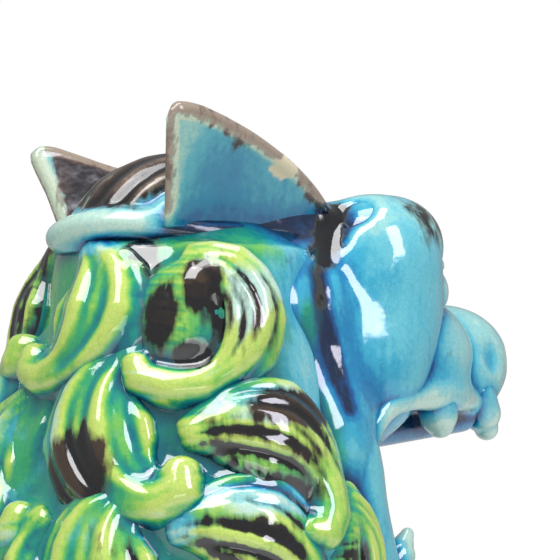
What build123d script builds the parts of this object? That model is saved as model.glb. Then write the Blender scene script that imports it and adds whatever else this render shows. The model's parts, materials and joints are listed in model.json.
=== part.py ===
"""A seated foo dog (guardian lion) of glazed stoneware on a pierced plinth.

The statue is hollow and luted together from separately pressed and modelled clay pieces. Each
piece is its own solid here. Units are millimetres. +Z is up, the dog faces -Y, and the origin is
the centre of the plinth's footprint, on the surface that it stands on.
"""

import os
from math import cos, radians, sin

from build123d import *

# ---------------------------------------------------------------- driving dimensions
CLAY_WALL = 6.0  # wall of the pressed hollow pieces

PLINTH_LENGTH = 160.0  # along Y
PLINTH_WIDTH = 104.0  # along X
PLINTH_HEIGHT = 50.0
PLINTH_CORNER = 7.0  # plan radius of the plinth's corners
SLAB_THICKNESS = 8.0
FOOT_HEIGHT = 9.0
WAIST_INSET = 6.0  # the waist stands back from the slab and the foot by this much
SEAT = PLINTH_HEIGHT  # height of the surface that the dog sits on

VENT_RADIUS = 1.6  # pinhole that lets air out of the hollow body in the kiln

HEAD_Y = -14.0  # middle of the head, front to back
HEAD_Z = 284.0  # level of the eyes

# Height, middle in Y, half width in X and half depth in Y of each horizontal slice.
TRUNK_SLICES = [
    (50, 22, 33, 38),
    (80, 22, 37, 42),
    (115, 16, 35, 42),
    (150, 6, 34, 40),
    (180, 3, 32, 36),
]
NECK_SLICES = [
    (180, 4, 35, 35),
    (205, 8, 42, 38),
    (230, 12, 41, 36),
    (262, 10, 34, 28),
    (288, 8, 26, 22),
]
HEAD_SLICES = [
    (256, -13, 32, 24),
    (270, -8, 34, 29),
    (282, -3, 31, 33),
    (291, -2, 26, 33),
    (298, -3, 18, 25),
]

EYE_RADIUS = 7.0
EYE_CENTRE = (14.0, -36.0, 284.0)  # of the left eye; the right one is its mirror image
BROW_REAR, BROW_FRONT = (17.0, -23.0, 293.0), (16.0, -31.0, 292.0)
BROW_RADIUS = 9.0

CREST_REAR, CREST_FRONT = (0.0, 20.0, 291.0), (0.0, 4.0, 293.0)
CREST_RADIUS = 17.0

EAR_THICKNESS = 4.0
EAR_ROOT_REAR = Vector(-19.5, 27.0, 296.0)  # right ear: back of its root
EAR_ROOT_FRONT = Vector(-15.0, -18.0, 296.0)  # front of its root
EAR_TIP = Vector(-29.0, 29.0, 313.6)

BALL_RADIUS = 18.0
BALL_CENTRE = (-26.0, -57.0, SEAT + BALL_RADIUS - 0.6)
BALL_FLAT = 0.6  # the ball is pressed down by this much, so that it seats

LEFT_PAW_Y = -56.0
PAW_LENGTH, PAW_WIDTH, PAW_HEIGHT = 34.0, 25.0, 15.0
HIND_PAW_CENTRE = (35.0, -6.0)

COLLAR_BOTTOM, COLLAR_WIDTH = 165.0, 9.0
BELL_RADIUS = 8.5
BELL_CENTRE = (0.0, -45.0, 158.0)

CURL_RISE = 5.0  # how far a mane curl stands out from the neck
CURL_SHARE = 0.86  # share of its space in the row that a curl fills, so neighbours stay clear

# Each row of mane curls: height of its middle, curl height, how many curls, and the angles of the
# first and the last about the neck in degrees, from straight back (0) to the dog's right (90).
MANE_ROWS = {
    "mane_curls_row_1": (273, 20, 4, -84, 62),
    "mane_curls_row_2": (252, 20, 5, -87, 84),
    "mane_curls_row_3": (231, 20, 8, -112, 110),
    "mane_curls_row_4": (210, 20, 10, -122, 121),
    "mane_curls_row_5": (191, 17, 10, -136, 134),
}

parts_made = []


# ---------------------------------------------------------------- helpers
def stack(slices, inset=0.0, low=None, high=None):
    """A smooth hollow-ware form through horizontal ellipses, drawn in by inset all round."""
    with BuildPart() as form:
        for z, middle_y, half_width, half_depth in slices:
            with BuildSketch(Plane.XY.offset(z)):
                with Locations((0, middle_y)):
                    Ellipse(half_width - inset, half_depth - inset)
        loft()
        if low is not None:
            split(bisect_by=Plane.XY.offset(low), keep=Keep.TOP)
        if high is not None:
            split(bisect_by=Plane.XY.offset(high), keep=Keep.BOTTOM)
    return form.part


def limb(slices):
    """A leg through horizontal ellipses: height, middle in X and Y, half width and half depth."""
    with BuildPart() as form:
        for z, middle_x, middle_y, half_width, half_depth in slices:
            with BuildSketch(Plane.XY.offset(z)):
                with Locations((middle_x, middle_y)):
                    Ellipse(half_width, half_depth)
        loft()
    return form.part


def roll(start, end, radius):
    """A round-ended roll of clay between the centres of its two round ends."""
    first, last = Vector(*start), Vector(*end)
    along = (last - first).normalized()
    with BuildPart() as form:
        with BuildSketch(Plane(origin=first - along * radius, z_dir=along)):
            Circle(radius)
        extrude(amount=(last - first).length + 2 * radius)
        fillet(form.edges().filter_by(GeomType.CIRCLE), radius * 0.93)
    return form.part


def fang(root, tip, radius):
    """A round-tipped cone from its root to its tip."""
    start, end = Vector(*root), Vector(*tip)
    along = end - start
    with BuildPart() as form:
        with BuildSketch(Plane(origin=start, z_dir=along)):
            Circle(radius)
        with BuildSketch(Plane(origin=start + along * 0.6, z_dir=along)):
            Circle(radius * 0.72)
        with BuildSketch(Plane(origin=end, z_dir=along)):
            Circle(radius * 0.25)
        loft()
    return form.part


def slice_at(slices, z):
    """Middle in Y, half width and half depth of a stack at height z, in between its slices."""
    for low, high in zip(slices, slices[1:]):
        if low[0] <= z <= high[0]:
            share = (z - low[0]) / (high[0] - low[0])
            return [a + share * (b - a) for a, b in zip(low[1:], high[1:])]
    raise ValueError(f"no slice at {z}")


def finish(name, label):
    """Labels a finished piece and writes it as its own STEP file."""
    name.part.label = label
    export_step(name.part, f"parts/{label}.step")
    parts_made.append(name.part)
    print(label, len(name.part.solids()), round(name.part.volume))


def mirrored(solid):
    """The same piece for the other side of the dog."""
    return mirror(solid, about=Plane.YZ)


os.makedirs("parts", exist_ok=True)

# ---------------------------------------------------------------- plinth
WAIST_LENGTH = PLINTH_LENGTH - 2 * WAIST_INSET
WAIST_WIDTH = PLINTH_WIDTH - 2 * WAIST_INSET
WAIST_TOP = PLINTH_HEIGHT - SLAB_THICKNESS
WINDOW_Z = (FOOT_HEIGHT + WAIST_TOP) / 2
WINDOW_LOBE = 4.6  # radius of each lobe of a window
WINDOW_REACH = 5.2  # from the window's middle to each lobe's middle
FOOT_ARCH = 4.0  # height of the arch cut under each side of the foot


def window(plane):
    """A four-lobed piercing through one wall of the plinth."""
    with BuildPart() as cutter:
        with BuildSketch(plane):
            with PolarLocations(WINDOW_REACH, 4):
                Circle(WINDOW_LOBE)
            Circle(WINDOW_REACH)
        extrude(amount=2 * CLAY_WALL, both=True)
    return cutter.part


long_side_windows = [
    window(Plane(origin=(side * WAIST_WIDTH / 2, y, WINDOW_Z), x_dir=(0, 1, 0), z_dir=(1, 0, 0)))
    for side in (-1, 1)
    for y in (-44, 0, 44)
]
short_side_windows = [
    window(Plane(origin=(x, side * WAIST_LENGTH / 2, WINDOW_Z), x_dir=(1, 0, 0), z_dir=(0, 1, 0)))
    for side in (-1, 1)
    for x in (-22, 22)
]

with BuildPart() as plinth_box:
    with BuildSketch():
        RectangleRounded(PLINTH_WIDTH, PLINTH_LENGTH, PLINTH_CORNER)
    extrude(amount=FOOT_HEIGHT)
    fillet(plinth_box.faces().sort_by(Axis.Z)[-1].edges(), 3)
    with BuildSketch(Plane.XY.offset(FOOT_HEIGHT - 3)):
        RectangleRounded(WAIST_WIDTH, WAIST_LENGTH, PLINTH_CORNER - 2)
    extrude(amount=WAIST_TOP - FOOT_HEIGHT + 3)
    with BuildSketch():
        RectangleRounded(WAIST_WIDTH - 2 * CLAY_WALL, WAIST_LENGTH - 2 * CLAY_WALL, 3)
    extrude(amount=PLINTH_HEIGHT, mode=Mode.SUBTRACT)
    with BuildSketch(Plane.XZ):
        with Locations((0, 0)):
            Ellipse(PLINTH_WIDTH / 2 - 22, FOOT_ARCH)
    extrude(amount=PLINTH_LENGTH, both=True, mode=Mode.SUBTRACT)
    with BuildSketch(Plane.YZ):
        with Locations((0, 0)):
            Ellipse(PLINTH_LENGTH / 2 - 26, FOOT_ARCH)
    extrude(amount=PLINTH_WIDTH, both=True, mode=Mode.SUBTRACT)
    add(long_side_windows + short_side_windows, mode=Mode.SUBTRACT)
finish(plinth_box, "plinth_box")

with BuildPart() as plinth_slab:
    with BuildSketch(Plane.XY.offset(WAIST_TOP)):
        RectangleRounded(PLINTH_WIDTH, PLINTH_LENGTH, PLINTH_CORNER)
    extrude(amount=SLAB_THICKNESS)
    fillet(plinth_slab.faces().sort_by(Axis.Z)[-1].edges(), 2.5)
    fillet(plinth_slab.faces().sort_by(Axis.Z)[0].edges(), 2.5)
    with BuildSketch(Plane.XY.offset(WAIST_TOP)):
        with Locations((0, 20)):
            Circle(VENT_RADIUS)
    extrude(amount=SLAB_THICKNESS, mode=Mode.SUBTRACT)
finish(plinth_slab, "plinth_slab")

# ---------------------------------------------------------------- hollow body
trunk_form = stack(TRUNK_SLICES)
trunk_hollow = stack(TRUNK_SLICES, inset=CLAY_WALL)
neck_form = stack(NECK_SLICES)
neck_hollow = stack(NECK_SLICES, inset=CLAY_WALL, high=NECK_SLICES[-1][0] - CLAY_WALL)
head_form = stack(HEAD_SLICES)
head_hollow = stack(
    HEAD_SLICES, inset=CLAY_WALL, low=HEAD_SLICES[0][0] + CLAY_WALL, high=HEAD_SLICES[-1][0] - 5
)

for label, kept in (("trunk_left", Keep.TOP), ("trunk_right", Keep.BOTTOM)):
    with BuildPart() as trunk_half:
        add(trunk_form)
        add(trunk_hollow, mode=Mode.SUBTRACT)
        split(bisect_by=Plane.YZ, keep=kept)
    finish(trunk_half, label)

with BuildPart() as neck_shell:
    add(neck_form)
    add(neck_hollow, mode=Mode.SUBTRACT)
finish(neck_shell, "neck_shell")

# ---------------------------------------------------------------- legs, paws and claws
with BuildPart() as haunch:
    with BuildSketch(Plane.YZ.offset(16)):
        with Locations((34, 84)):
            Circle(33)
    extrude(amount=29)
    fillet(haunch.faces().sort_by(Axis.X)[-1].edges(), 12)
haunch_form = haunch.part
slab_block = Pos(0, 0, SEAT - 30) * Box(200, 300, 60)  # everything below the seat

with BuildPart() as haunch_left:
    add(haunch_form)
    add(trunk_form, mode=Mode.SUBTRACT)
    add(slab_block, mode=Mode.SUBTRACT)
finish(haunch_left, "haunch_left")

with BuildPart() as haunch_right:
    add(mirrored(haunch_left.part))
finish(haunch_right, "haunch_right")


def paw(middle_x, middle_y, floor, length=PAW_LENGTH):
    """A padded foot with a flat sole and four rounded toes at its front."""
    toe_radius = PAW_WIDTH / 8 + 1.2
    front = middle_y - length / 2 + toe_radius
    toes = [
        roll((middle_x + dx, front, floor + 5), (middle_x + dx, front + 9, floor + 6), toe_radius)
        for dx in (-PAW_WIDTH * 0.34, -PAW_WIDTH * 0.115, PAW_WIDTH * 0.115, PAW_WIDTH * 0.34)
    ]
    pad_radius = PAW_HEIGHT - 3
    heel = middle_y + length / 2 - pad_radius
    pad = roll((middle_x, front + 9, floor + 3), (middle_x, heel, floor + 3), pad_radius)
    with BuildPart() as foot:
        add(pad)
        add(toes)
        split(bisect_by=Plane.XY.offset(floor), keep=Keep.TOP)
    return foot.part


left_paw_form = paw(24, LEFT_PAW_Y, SEAT)
hind_paw_form = paw(*HIND_PAW_CENTRE, SEAT, length=40)

with BuildPart() as front_paw_left:
    add(left_paw_form)
finish(front_paw_left, "front_paw_left")

with BuildPart() as hind_paw_left:
    add(hind_paw_form)
    add([trunk_form, haunch_form], mode=Mode.SUBTRACT)
finish(hind_paw_left, "hind_paw_left")

with BuildPart() as hind_paw_right:
    add(mirrored(hind_paw_left.part))
finish(hind_paw_right, "hind_paw_right")

ball_form = Pos(*BALL_CENTRE) * Sphere(BALL_RADIUS)
PERCH = BALL_CENTRE[2] + BALL_RADIUS - 3.0  # the raised paw's sole, just below the ball's top
right_paw_form = paw(BALL_CENTRE[0], BALL_CENTRE[1] + 5, PERCH)

with BuildPart() as ball:
    add(ball_form)
    split(bisect_by=Plane.XY.offset(SEAT), keep=Keep.TOP)
finish(ball, "ball")

with BuildPart() as front_paw_right:
    add(right_paw_form)
    add(ball_form, mode=Mode.SUBTRACT)
finish(front_paw_right, "front_paw_right")

left_leg_form = limb(
    [
        (SEAT + 8, 24, -49, 10.5, 11),
        (90, 24, -47, 10, 11),
        (125, 25.5, -38, 13, 16),
        (160, 24, -24, 13, 17),
    ]
)
right_leg_form = limb(
    [
        (PERCH + 7, -26, -49, 10.5, 11),
        (128, -26, -38, 13, 16),
        (160, -24, -24, 13, 17),
    ]
)

with BuildPart() as front_leg_left:
    add(left_leg_form)
    add([trunk_form, left_paw_form], mode=Mode.SUBTRACT)
finish(front_leg_left, "front_leg_left")

with BuildPart() as front_leg_right:
    add(right_leg_form)
    add([trunk_form, right_paw_form], mode=Mode.SUBTRACT)
finish(front_leg_right, "front_leg_right")


def claws(middle_x, middle_y, floor, length=PAW_LENGTH):
    """The four claws at the front of one paw, as separate cones."""
    front = middle_y - length / 2
    return [
        fang((middle_x + dx, front + 2.5, floor + 4.6), (middle_x + dx, front - 3, floor + 1.2), 1.9)
        for dx in (-PAW_WIDTH * 0.34, -PAW_WIDTH * 0.115, PAW_WIDTH * 0.115, PAW_WIDTH * 0.34)
    ]


with BuildPart() as front_claws:
    add(claws(24, LEFT_PAW_Y, SEAT))
    add(claws(BALL_CENTRE[0], BALL_CENTRE[1] + 5, PERCH))
    add([left_paw_form, right_paw_form, ball_form], mode=Mode.SUBTRACT)
finish(front_claws, "front_claws")

with BuildPart() as hind_claws:
    add(claws(*HIND_PAW_CENTRE, SEAT, length=40))
    add(hind_paw_form, mode=Mode.SUBTRACT)
    mirror(about=Plane.YZ)
finish(hind_claws, "hind_claws")

with BuildPart() as elbow_tufts:
    add([fang((29, -20 + 3 * n, 112 - 9 * n), (36, -6 + 3 * n, 104 - 9 * n), 5) for n in range(3)])
    add([trunk_form, left_leg_form, haunch_form], mode=Mode.SUBTRACT)
    mirror(about=Plane.YZ)
    add(right_leg_form, mode=Mode.SUBTRACT)
finish(elbow_tufts, "elbow_tufts")

with BuildPart() as ball_ribbon:
    for turn in (35, 145):
        band_axis = Vector(cos(radians(turn)), sin(radians(turn)), 0)
        with BuildSketch(Plane(origin=BALL_CENTRE, z_dir=band_axis)):
            Circle(BALL_RADIUS + 1.2)
            Circle(BALL_RADIUS, mode=Mode.SUBTRACT)
        extrude(amount=2.2, both=True)
    add(ball_form, mode=Mode.SUBTRACT)
    split(bisect_by=Plane.XY.offset(SEAT), keep=Keep.TOP)
    add(right_paw_form, mode=Mode.SUBTRACT)
    add(front_claws.part, mode=Mode.SUBTRACT)
finish(ball_ribbon, "ball_ribbon")

# ---------------------------------------------------------------- collar and bell
with BuildPart() as bell_blank:
    with BuildSketch(Plane.XY.offset(BELL_CENTRE[2] - BELL_RADIUS)):
        with Locations((BELL_CENTRE[0], BELL_CENTRE[1])):
            Circle(BELL_RADIUS)
    extrude(amount=2 * BELL_RADIUS)
    fillet(bell_blank.edges().filter_by(GeomType.CIRCLE), BELL_RADIUS * 0.8)
bell_form = bell_blank.part

with BuildPart() as collar:
    with BuildSketch(Plane.XY.offset(COLLAR_BOTTOM)):
        with Locations((0, 4)):
            Ellipse(36.5, 41)
    extrude(amount=COLLAR_WIDTH)
    fillet(collar.edges(), 2.5)
    add([trunk_form, left_leg_form, right_leg_form, bell_form], mode=Mode.SUBTRACT)
finish(collar, "collar")

with BuildPart() as bell:
    add(bell_form)
    with BuildSketch(Plane.XZ.offset(-BELL_CENTRE[1])):
        with Locations((0, BELL_CENTRE[2] - BELL_RADIUS)):
            Rectangle(1.8, BELL_RADIUS)
    extrude(amount=BELL_RADIUS + 2, mode=Mode.SUBTRACT)
    add([trunk_form, left_leg_form, right_leg_form], mode=Mode.SUBTRACT)
finish(bell, "bell")

# ---------------------------------------------------------------- tail
TAIL_BEADS = [  # height, middle in Y, half width and half depth of the plume
    (52, 66, 9, 9),
    (75, 70, 11, 9),
    (105, 69, 17, 9),
    (135, 62, 20, 9),
    (160, 54, 14, 8),
    (180, 50, 3, 3),
]
tail_form = stack(TAIL_BEADS)

with BuildPart() as tail:
    add(tail_form)
    add([trunk_form, haunch_form, mirrored(haunch_form), slab_block], mode=Mode.SUBTRACT)
finish(tail, "tail")

TAIL_CURL_Y = 72
tail_curl_forms = [
    roll((side * across, TAIL_CURL_Y, z), (side * (across + 2), TAIL_CURL_Y + 2, z - 6), 5)
    for z, across in ((84, 12), (108, 17), (132, 18))
    for side in (-1, 1)
]
with BuildPart() as tail_curls:
    add(tail_curl_forms)
    add([tail_form, trunk_form, haunch_form, mirrored(haunch_form)], mode=Mode.SUBTRACT)
finish(tail_curls, "tail_curls")

# ---------------------------------------------------------------- face
eye_form = Pos(*EYE_CENTRE) * Sphere(EYE_RADIUS)
brow_form = roll(BROW_REAR, BROW_FRONT, BROW_RADIUS)
crest_form = roll(CREST_REAR, CREST_FRONT, CREST_RADIUS)
nose_form = roll((-4, -57, 272), (4, -57, 272), 7)

with BuildPart() as muzzle:
    for y, half_width, low, high in ((-24, 25, 258, 280), (-46, 19, 258, 280), (-60, 12, 259, 272)):
        with BuildSketch(Plane.XZ.offset(-y)):
            with Locations((0, (low + high) / 2)):
                RectangleRounded(2 * half_width, high - low, 6)
    loft()
muzzle_form = muzzle.part

with BuildPart() as cheeks:
    for z, half_depth in ((204, 8), (232, 9), (258, 13)):
        with BuildSketch(Plane.XY.offset(z)):
            with Locations((24, -13)):
                Ellipse(8.5, half_depth)
    loft()
    mirror(about=Plane.YZ)
cheeks_form = cheeks.part

with BuildPart() as head_shell:
    add(head_form)
    add(head_hollow, mode=Mode.SUBTRACT)
    add([neck_form, eye_form, mirrored(eye_form)], mode=Mode.SUBTRACT)
finish(head_shell, "head_shell")

for label, turned in (("brow_left", False), ("brow_right", True)):
    with BuildPart() as brow:
        add(brow_form)
        add([head_form, eye_form], mode=Mode.SUBTRACT)
        if turned:
            mirror(about=Plane.YZ, mode=Mode.REPLACE)
    finish(brow, label)

for label, turned in (("eye_left", False), ("eye_right", True)):
    with BuildPart() as eye:
        add(eye_form)
        if turned:
            mirror(about=Plane.YZ, mode=Mode.REPLACE)
    finish(eye, label)

upper_fang_forms = [
    fang((side * x, y, 259), (side * x, y - 0.5, z), radius)
    for side in (-1, 1)
    for x, y, z, radius in ((18, -41, 250.5, 3.4), (10, -54, 250.5, 3.2))
]
with BuildPart() as upper_jaw:
    add(muzzle_form)
    add([head_form, eye_form, mirrored(eye_form), nose_form], mode=Mode.SUBTRACT)
finish(upper_jaw, "upper_jaw")

with BuildPart() as nose:
    add(nose_form)
    with BuildSketch(Plane.XZ.offset(60)):
        with Locations((-4, 271), (4, 271)):
            Circle(1.8)
    extrude(amount=8, mode=Mode.SUBTRACT)
finish(nose, "nose")

with BuildPart() as upper_teeth:
    add(upper_fang_forms)
    for x in (-5.4, -1.8, 1.8, 5.4):
        with BuildSketch(Plane.XY.offset(254.5)):
            with Locations((x, -56)):
                RectangleRounded(3.2, 4, 1)
        extrude(amount=5)
    add([muzzle_form, head_form], mode=Mode.SUBTRACT)
finish(upper_teeth, "upper_teeth")

JAW_SLICES = [(198, -33, 13, 14), (206, -32, 22, 22), (215, -30, 26, 25)]
jaw_form = stack(JAW_SLICES)
mouth_floor = stack([(z + 7, y, rx - 7, ry - 7) for z, y, rx, ry in JAW_SLICES])

with BuildPart() as lower_jaw:
    add(jaw_form)
    add(cheeks_form)
    add(mouth_floor, mode=Mode.SUBTRACT)
    add([neck_form, head_form, muzzle_form], mode=Mode.SUBTRACT)
finish(lower_jaw, "lower_jaw")

with BuildPart() as tongue_blank:
    with BuildSketch(Plane.XY.offset(205)):
        with Locations((0, -35)):
            RectangleRounded(17, 30, 7)
    extrude(amount=12)
    fillet(tongue_blank.faces().sort_by(Axis.Z)[-1].edges(), 5)
tongue_form = tongue_blank.part
with BuildPart() as tongue:
    add(tongue_form)
    add([jaw_form - mouth_floor, neck_form], mode=Mode.SUBTRACT)
finish(tongue, "tongue")

with BuildPart() as lower_teeth:
    lower_fangs = [
        fang((side * x, y, 214), (side * x, y - 1, 221), 2.6)
        for side in (-1, 1)
        for x, y in ((13, -49), (21, -39))
    ]
    add(lower_fangs)
    add([jaw_form, tongue_form], mode=Mode.SUBTRACT)
    side_teeth = [fang((side * 25, -20, 233), (side * 25, -26, 234.5), 3.2) for side in (-1, 1)]
    add(side_teeth)
    add(cheeks_form, mode=Mode.SUBTRACT)
finish(lower_teeth, "lower_teeth")

# ---------------------------------------------------------------- ears and crest
along_root = (EAR_ROOT_FRONT - EAR_ROOT_REAR).normalized()
ear_face = along_root.cross(EAR_TIP - EAR_ROOT_REAR).normalized()
ear_plane = Plane(origin=EAR_ROOT_REAR, x_dir=along_root, z_dir=ear_face)

with BuildPart() as ear_blank:
    with BuildSketch(ear_plane):
        with BuildLine():
            Polyline((38, -7), (0, -7), (0, 21))
            Spline((0, 21), (3.5, 25), (17, 22), (32, 15), (41, 3), (38, -7))
        make_face()
    extrude(amount=EAR_THICKNESS / 2, both=True)
ear_form = ear_blank.part

with BuildPart() as ear_right:
    add(ear_form)
    add([head_form, crest_form, brow_form, mirrored(brow_form)], mode=Mode.SUBTRACT)
    add(ear_right.part.solids().sort_by(SortBy.VOLUME)[-1], mode=Mode.REPLACE)
finish(ear_right, "ear_right")

with BuildPart() as ear_left:
    add(mirrored(ear_right.part))
finish(ear_left, "ear_left")

with BuildPart() as crest:
    add(crest_form)
    add([head_form, neck_form], mode=Mode.SUBTRACT)
finish(crest, "crest")

# ---------------------------------------------------------------- mane, beard
def neck_point(turn, z):
    """The point of the neck's surface at an angle about it, and the direction out of it there."""
    middle_y, half_width, half_depth = slice_at(NECK_SLICES, min(z, NECK_SLICES[-1][0]))
    spot = Vector(-half_width * sin(turn), middle_y + half_depth * cos(turn), z)
    outward = Vector(-sin(turn) / half_width, cos(turn) / half_depth, 0).normalized()
    return spot, outward


def mane_curl(row_z, turn, height, width, hooks_right, neighbours):
    """One pressed curl: an oval lock whose tip rolls up into a small round knob."""
    spot, outward = neck_point(turn, row_z)
    across = Vector(0, 0, 1).cross(outward).normalized()
    hand = 1 if hooks_right else -1
    with BuildPart() as lock:
        with BuildSketch(Plane(origin=spot - outward * 6, x_dir=across, z_dir=outward)):
            Ellipse(width / 2, height / 2)
            with Locations((hand * width * 0.3, -height * 0.3)):
                Circle(height * 0.16)
        extrude(amount=6 + CURL_RISE)
        fillet(lock.faces().sort_by(Axis((0, 0, 0), tuple(outward)))[-1].edges(), 1.5)
        add(neighbours, mode=Mode.SUBTRACT)
    return lock.part.solids().sort_by(SortBy.VOLUME)[-1]


row_neighbours = {
    "mane_curls_row_1": [neck_form, head_form, crest_form],
    "mane_curls_row_2": [neck_form, head_form, cheeks_form],
    "mane_curls_row_3": [neck_form, cheeks_form],
    "mane_curls_row_4": [neck_form, cheeks_form, jaw_form],
    "mane_curls_row_5": [neck_form, jaw_form],
}
for label, (row_z, height, count, first, last) in MANE_ROWS.items():
    step = radians((last - first) / (count - 1))
    turns = [radians(first) + step * n for n in range(count)]
    chords = [
        (neck_point(turn + step, row_z)[0] - neck_point(turn, row_z)[0]).length
        for turn in turns[:-1]
    ]
    width = CURL_SHARE * min(chords)
    with BuildPart() as row:
        for turn in turns:
            add(mane_curl(row_z, turn, height, width, turn < 1, row_neighbours[label]))
    finish(row, label)

BEARD_SPOTS = [(-16, -43, 196), (-5.5, -50, 193), (5.5, -50, 193), (16, -43, 196)]
with BuildPart() as beard_curls:
    add([roll((x, y, z + 5), (x, y - 1, z - 5), 4.6) for x, y, z in BEARD_SPOTS])
    add([jaw_form, neck_form], mode=Mode.SUBTRACT)
finish(beard_curls, "beard_curls")

print("pieces", len(parts_made), "files", len(os.listdir("parts")))
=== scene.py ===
# %% [markdown]
# # A glazed stoneware foo dog
#
# The dog is built the way a potter builds one. Clay forms are made as signed distances on small
# grids, because lumps of clay that are luted together have soft joins, which distances give for
# nothing. Each form is then skinned with a closed mesh. The mane curls are pressed from three
# moulds and laid on the neck by a Geometry Nodes tree. Last, the glaze is worked out for every
# point: it runs thin and pale over ridges, and thick and dark into hollows.
#
# Forms are in millimetres: the dog faces -Y, its right side is -X, and +Z is up.

# %% Load the frame
import json
import math

import bpy
import numpy as np
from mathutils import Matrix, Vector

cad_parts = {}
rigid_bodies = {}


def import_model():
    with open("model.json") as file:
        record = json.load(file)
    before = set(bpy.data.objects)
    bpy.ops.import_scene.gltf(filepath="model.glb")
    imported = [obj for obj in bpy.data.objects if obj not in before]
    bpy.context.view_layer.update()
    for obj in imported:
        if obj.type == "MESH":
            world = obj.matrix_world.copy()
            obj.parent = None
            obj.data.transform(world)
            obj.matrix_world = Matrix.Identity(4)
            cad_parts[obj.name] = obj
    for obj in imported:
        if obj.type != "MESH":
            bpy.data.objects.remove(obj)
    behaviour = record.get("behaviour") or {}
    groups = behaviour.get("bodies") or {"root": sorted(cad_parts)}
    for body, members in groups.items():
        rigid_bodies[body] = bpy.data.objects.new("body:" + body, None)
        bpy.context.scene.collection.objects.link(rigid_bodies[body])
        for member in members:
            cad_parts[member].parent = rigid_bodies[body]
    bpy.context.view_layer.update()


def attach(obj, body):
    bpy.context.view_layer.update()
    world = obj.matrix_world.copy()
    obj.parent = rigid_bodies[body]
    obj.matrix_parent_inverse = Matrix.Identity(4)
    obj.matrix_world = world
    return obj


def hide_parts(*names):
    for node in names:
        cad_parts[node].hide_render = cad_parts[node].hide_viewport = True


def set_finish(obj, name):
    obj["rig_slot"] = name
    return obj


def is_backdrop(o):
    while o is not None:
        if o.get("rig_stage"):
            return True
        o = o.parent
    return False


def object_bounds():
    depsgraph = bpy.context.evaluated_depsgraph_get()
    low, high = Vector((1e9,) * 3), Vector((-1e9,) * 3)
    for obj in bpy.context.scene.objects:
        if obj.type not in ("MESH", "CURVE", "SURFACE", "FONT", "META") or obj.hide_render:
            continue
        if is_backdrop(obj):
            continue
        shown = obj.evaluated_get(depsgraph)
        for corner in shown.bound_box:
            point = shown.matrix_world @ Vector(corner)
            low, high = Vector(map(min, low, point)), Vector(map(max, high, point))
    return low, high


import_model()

import openvdb as vdb
from mathutils import Matrix, Vector

MM = 0.001

# %% [markdown]
# ## Clay
#
# `Clay` is a block of distances. Shapes are added or cut with a soft join of a stated width, as a
# thumb would leave it. Every shape is a pair: the box that it lies in, and its distance function.

# %% Clay blocks
FAR = 9.0


def soft_min(a, b, width):
    if width <= 0:
        return np.minimum(a, b)
    share = np.clip(0.5 + 0.5 * (b - a) / width, 0, 1)
    return b + (a - b) * share - width * share * (1 - share)


def soften(field, radius):
    """A Gaussian blur of a grid, radius in cells."""
    reach = int(math.ceil(radius * 2.6))
    weights = np.exp(-0.5 * (np.arange(-reach, reach + 1) / radius) ** 2)
    weights /= weights.sum()
    for axis in range(3):
        pad = [(0, 0)] * 3
        pad[axis] = (reach, reach)
        padded = np.pad(field, pad, mode="edge")
        total = np.zeros_like(field)
        for i, w in enumerate(weights):
            cut = [slice(None)] * 3
            cut[axis] = slice(i, i + field.shape[axis])
            total += np.float32(w) * padded[tuple(cut)]
        field = total
    return field


class Clay:
    """Signed distances in mm on a grid; negative is clay."""

    def __init__(self, low, high, step):
        self.step = step
        self.low = np.array(low, float)
        count = np.ceil((np.array(high, float) - self.low) / step).astype(int) + 1
        self.axes = [self.low[i] + step * np.arange(count[i]) for i in range(3)]
        self.field = np.full(count, FAR, np.float32)

    def window(self, low, high, margin):
        """The part of the grid that a box and a margin cover."""
        cut = []
        for axis, a, b in zip(self.axes, low, high):
            first = max(np.searchsorted(axis, a - margin) - 1, 0)
            last = min(np.searchsorted(axis, b + margin) + 1, len(axis))
            cut.append(slice(first, last))
        return tuple(cut)

    def points(self, cut):
        x, y, z = (axis[c].astype(np.float32) for axis, c in zip(self.axes, cut))
        return x[:, None, None], y[None, :, None], z[None, None, :]

    def add(self, shape, join=0.0):
        (low, high), distance = shape
        cut = self.window(low, high, 4 * self.step + join + 1.5)
        d = distance(*self.points(cut))
        self.field[cut] = soft_min(self.field[cut], d, join)
        return self

    def cut(self, shape, join=0.0):
        (low, high), distance = shape
        cut = self.window(low, high, 4 * self.step + join + 1.5)
        d = distance(*self.points(cut))
        self.field[cut] = -soft_min(-self.field[cut], d, join)
        return self

    def sample(self, points):
        """Trilinear distances at points, an n by 3 array in mm."""
        at = (points - self.low) / self.step
        size = np.array(self.field.shape)
        at = np.clip(at, 0, size - 1.001)
        i = at.astype(int)
        f = (at - i).astype(np.float32)
        total = np.zeros(len(points), np.float32)
        for dx in (0, 1):
            wx = f[:, 0] if dx else 1 - f[:, 0]
            for dy in (0, 1):
                wy = f[:, 1] if dy else 1 - f[:, 1]
                for dz in (0, 1):
                    wz = f[:, 2] if dz else 1 - f[:, 2]
                    total += wx * wy * wz * self.field[i[:, 0] + dx, i[:, 1] + dy, i[:, 2] + dz]
        return total

    def slope(self, points):
        h = self.step * 0.5
        parts = []
        for axis in range(3):
            shift = np.zeros(3)
            shift[axis] = h
            parts.append((self.sample(points + shift) - self.sample(points - shift)) / (2 * h))
        return np.stack(parts, 1)


def side_clay(side, inner, outer, low, high, step):
    """A block for a piece on one side of the dog; low and high are its ends in Y and Z."""
    x = sorted((side * inner, side * outer))
    return Clay((x[0], *low), (x[1], *high), step)


# %% [markdown]
# The shapes themselves: a ball, an egg that can be turned, a tapered rod, a strand through several
# points, and a rounded block.

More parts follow.
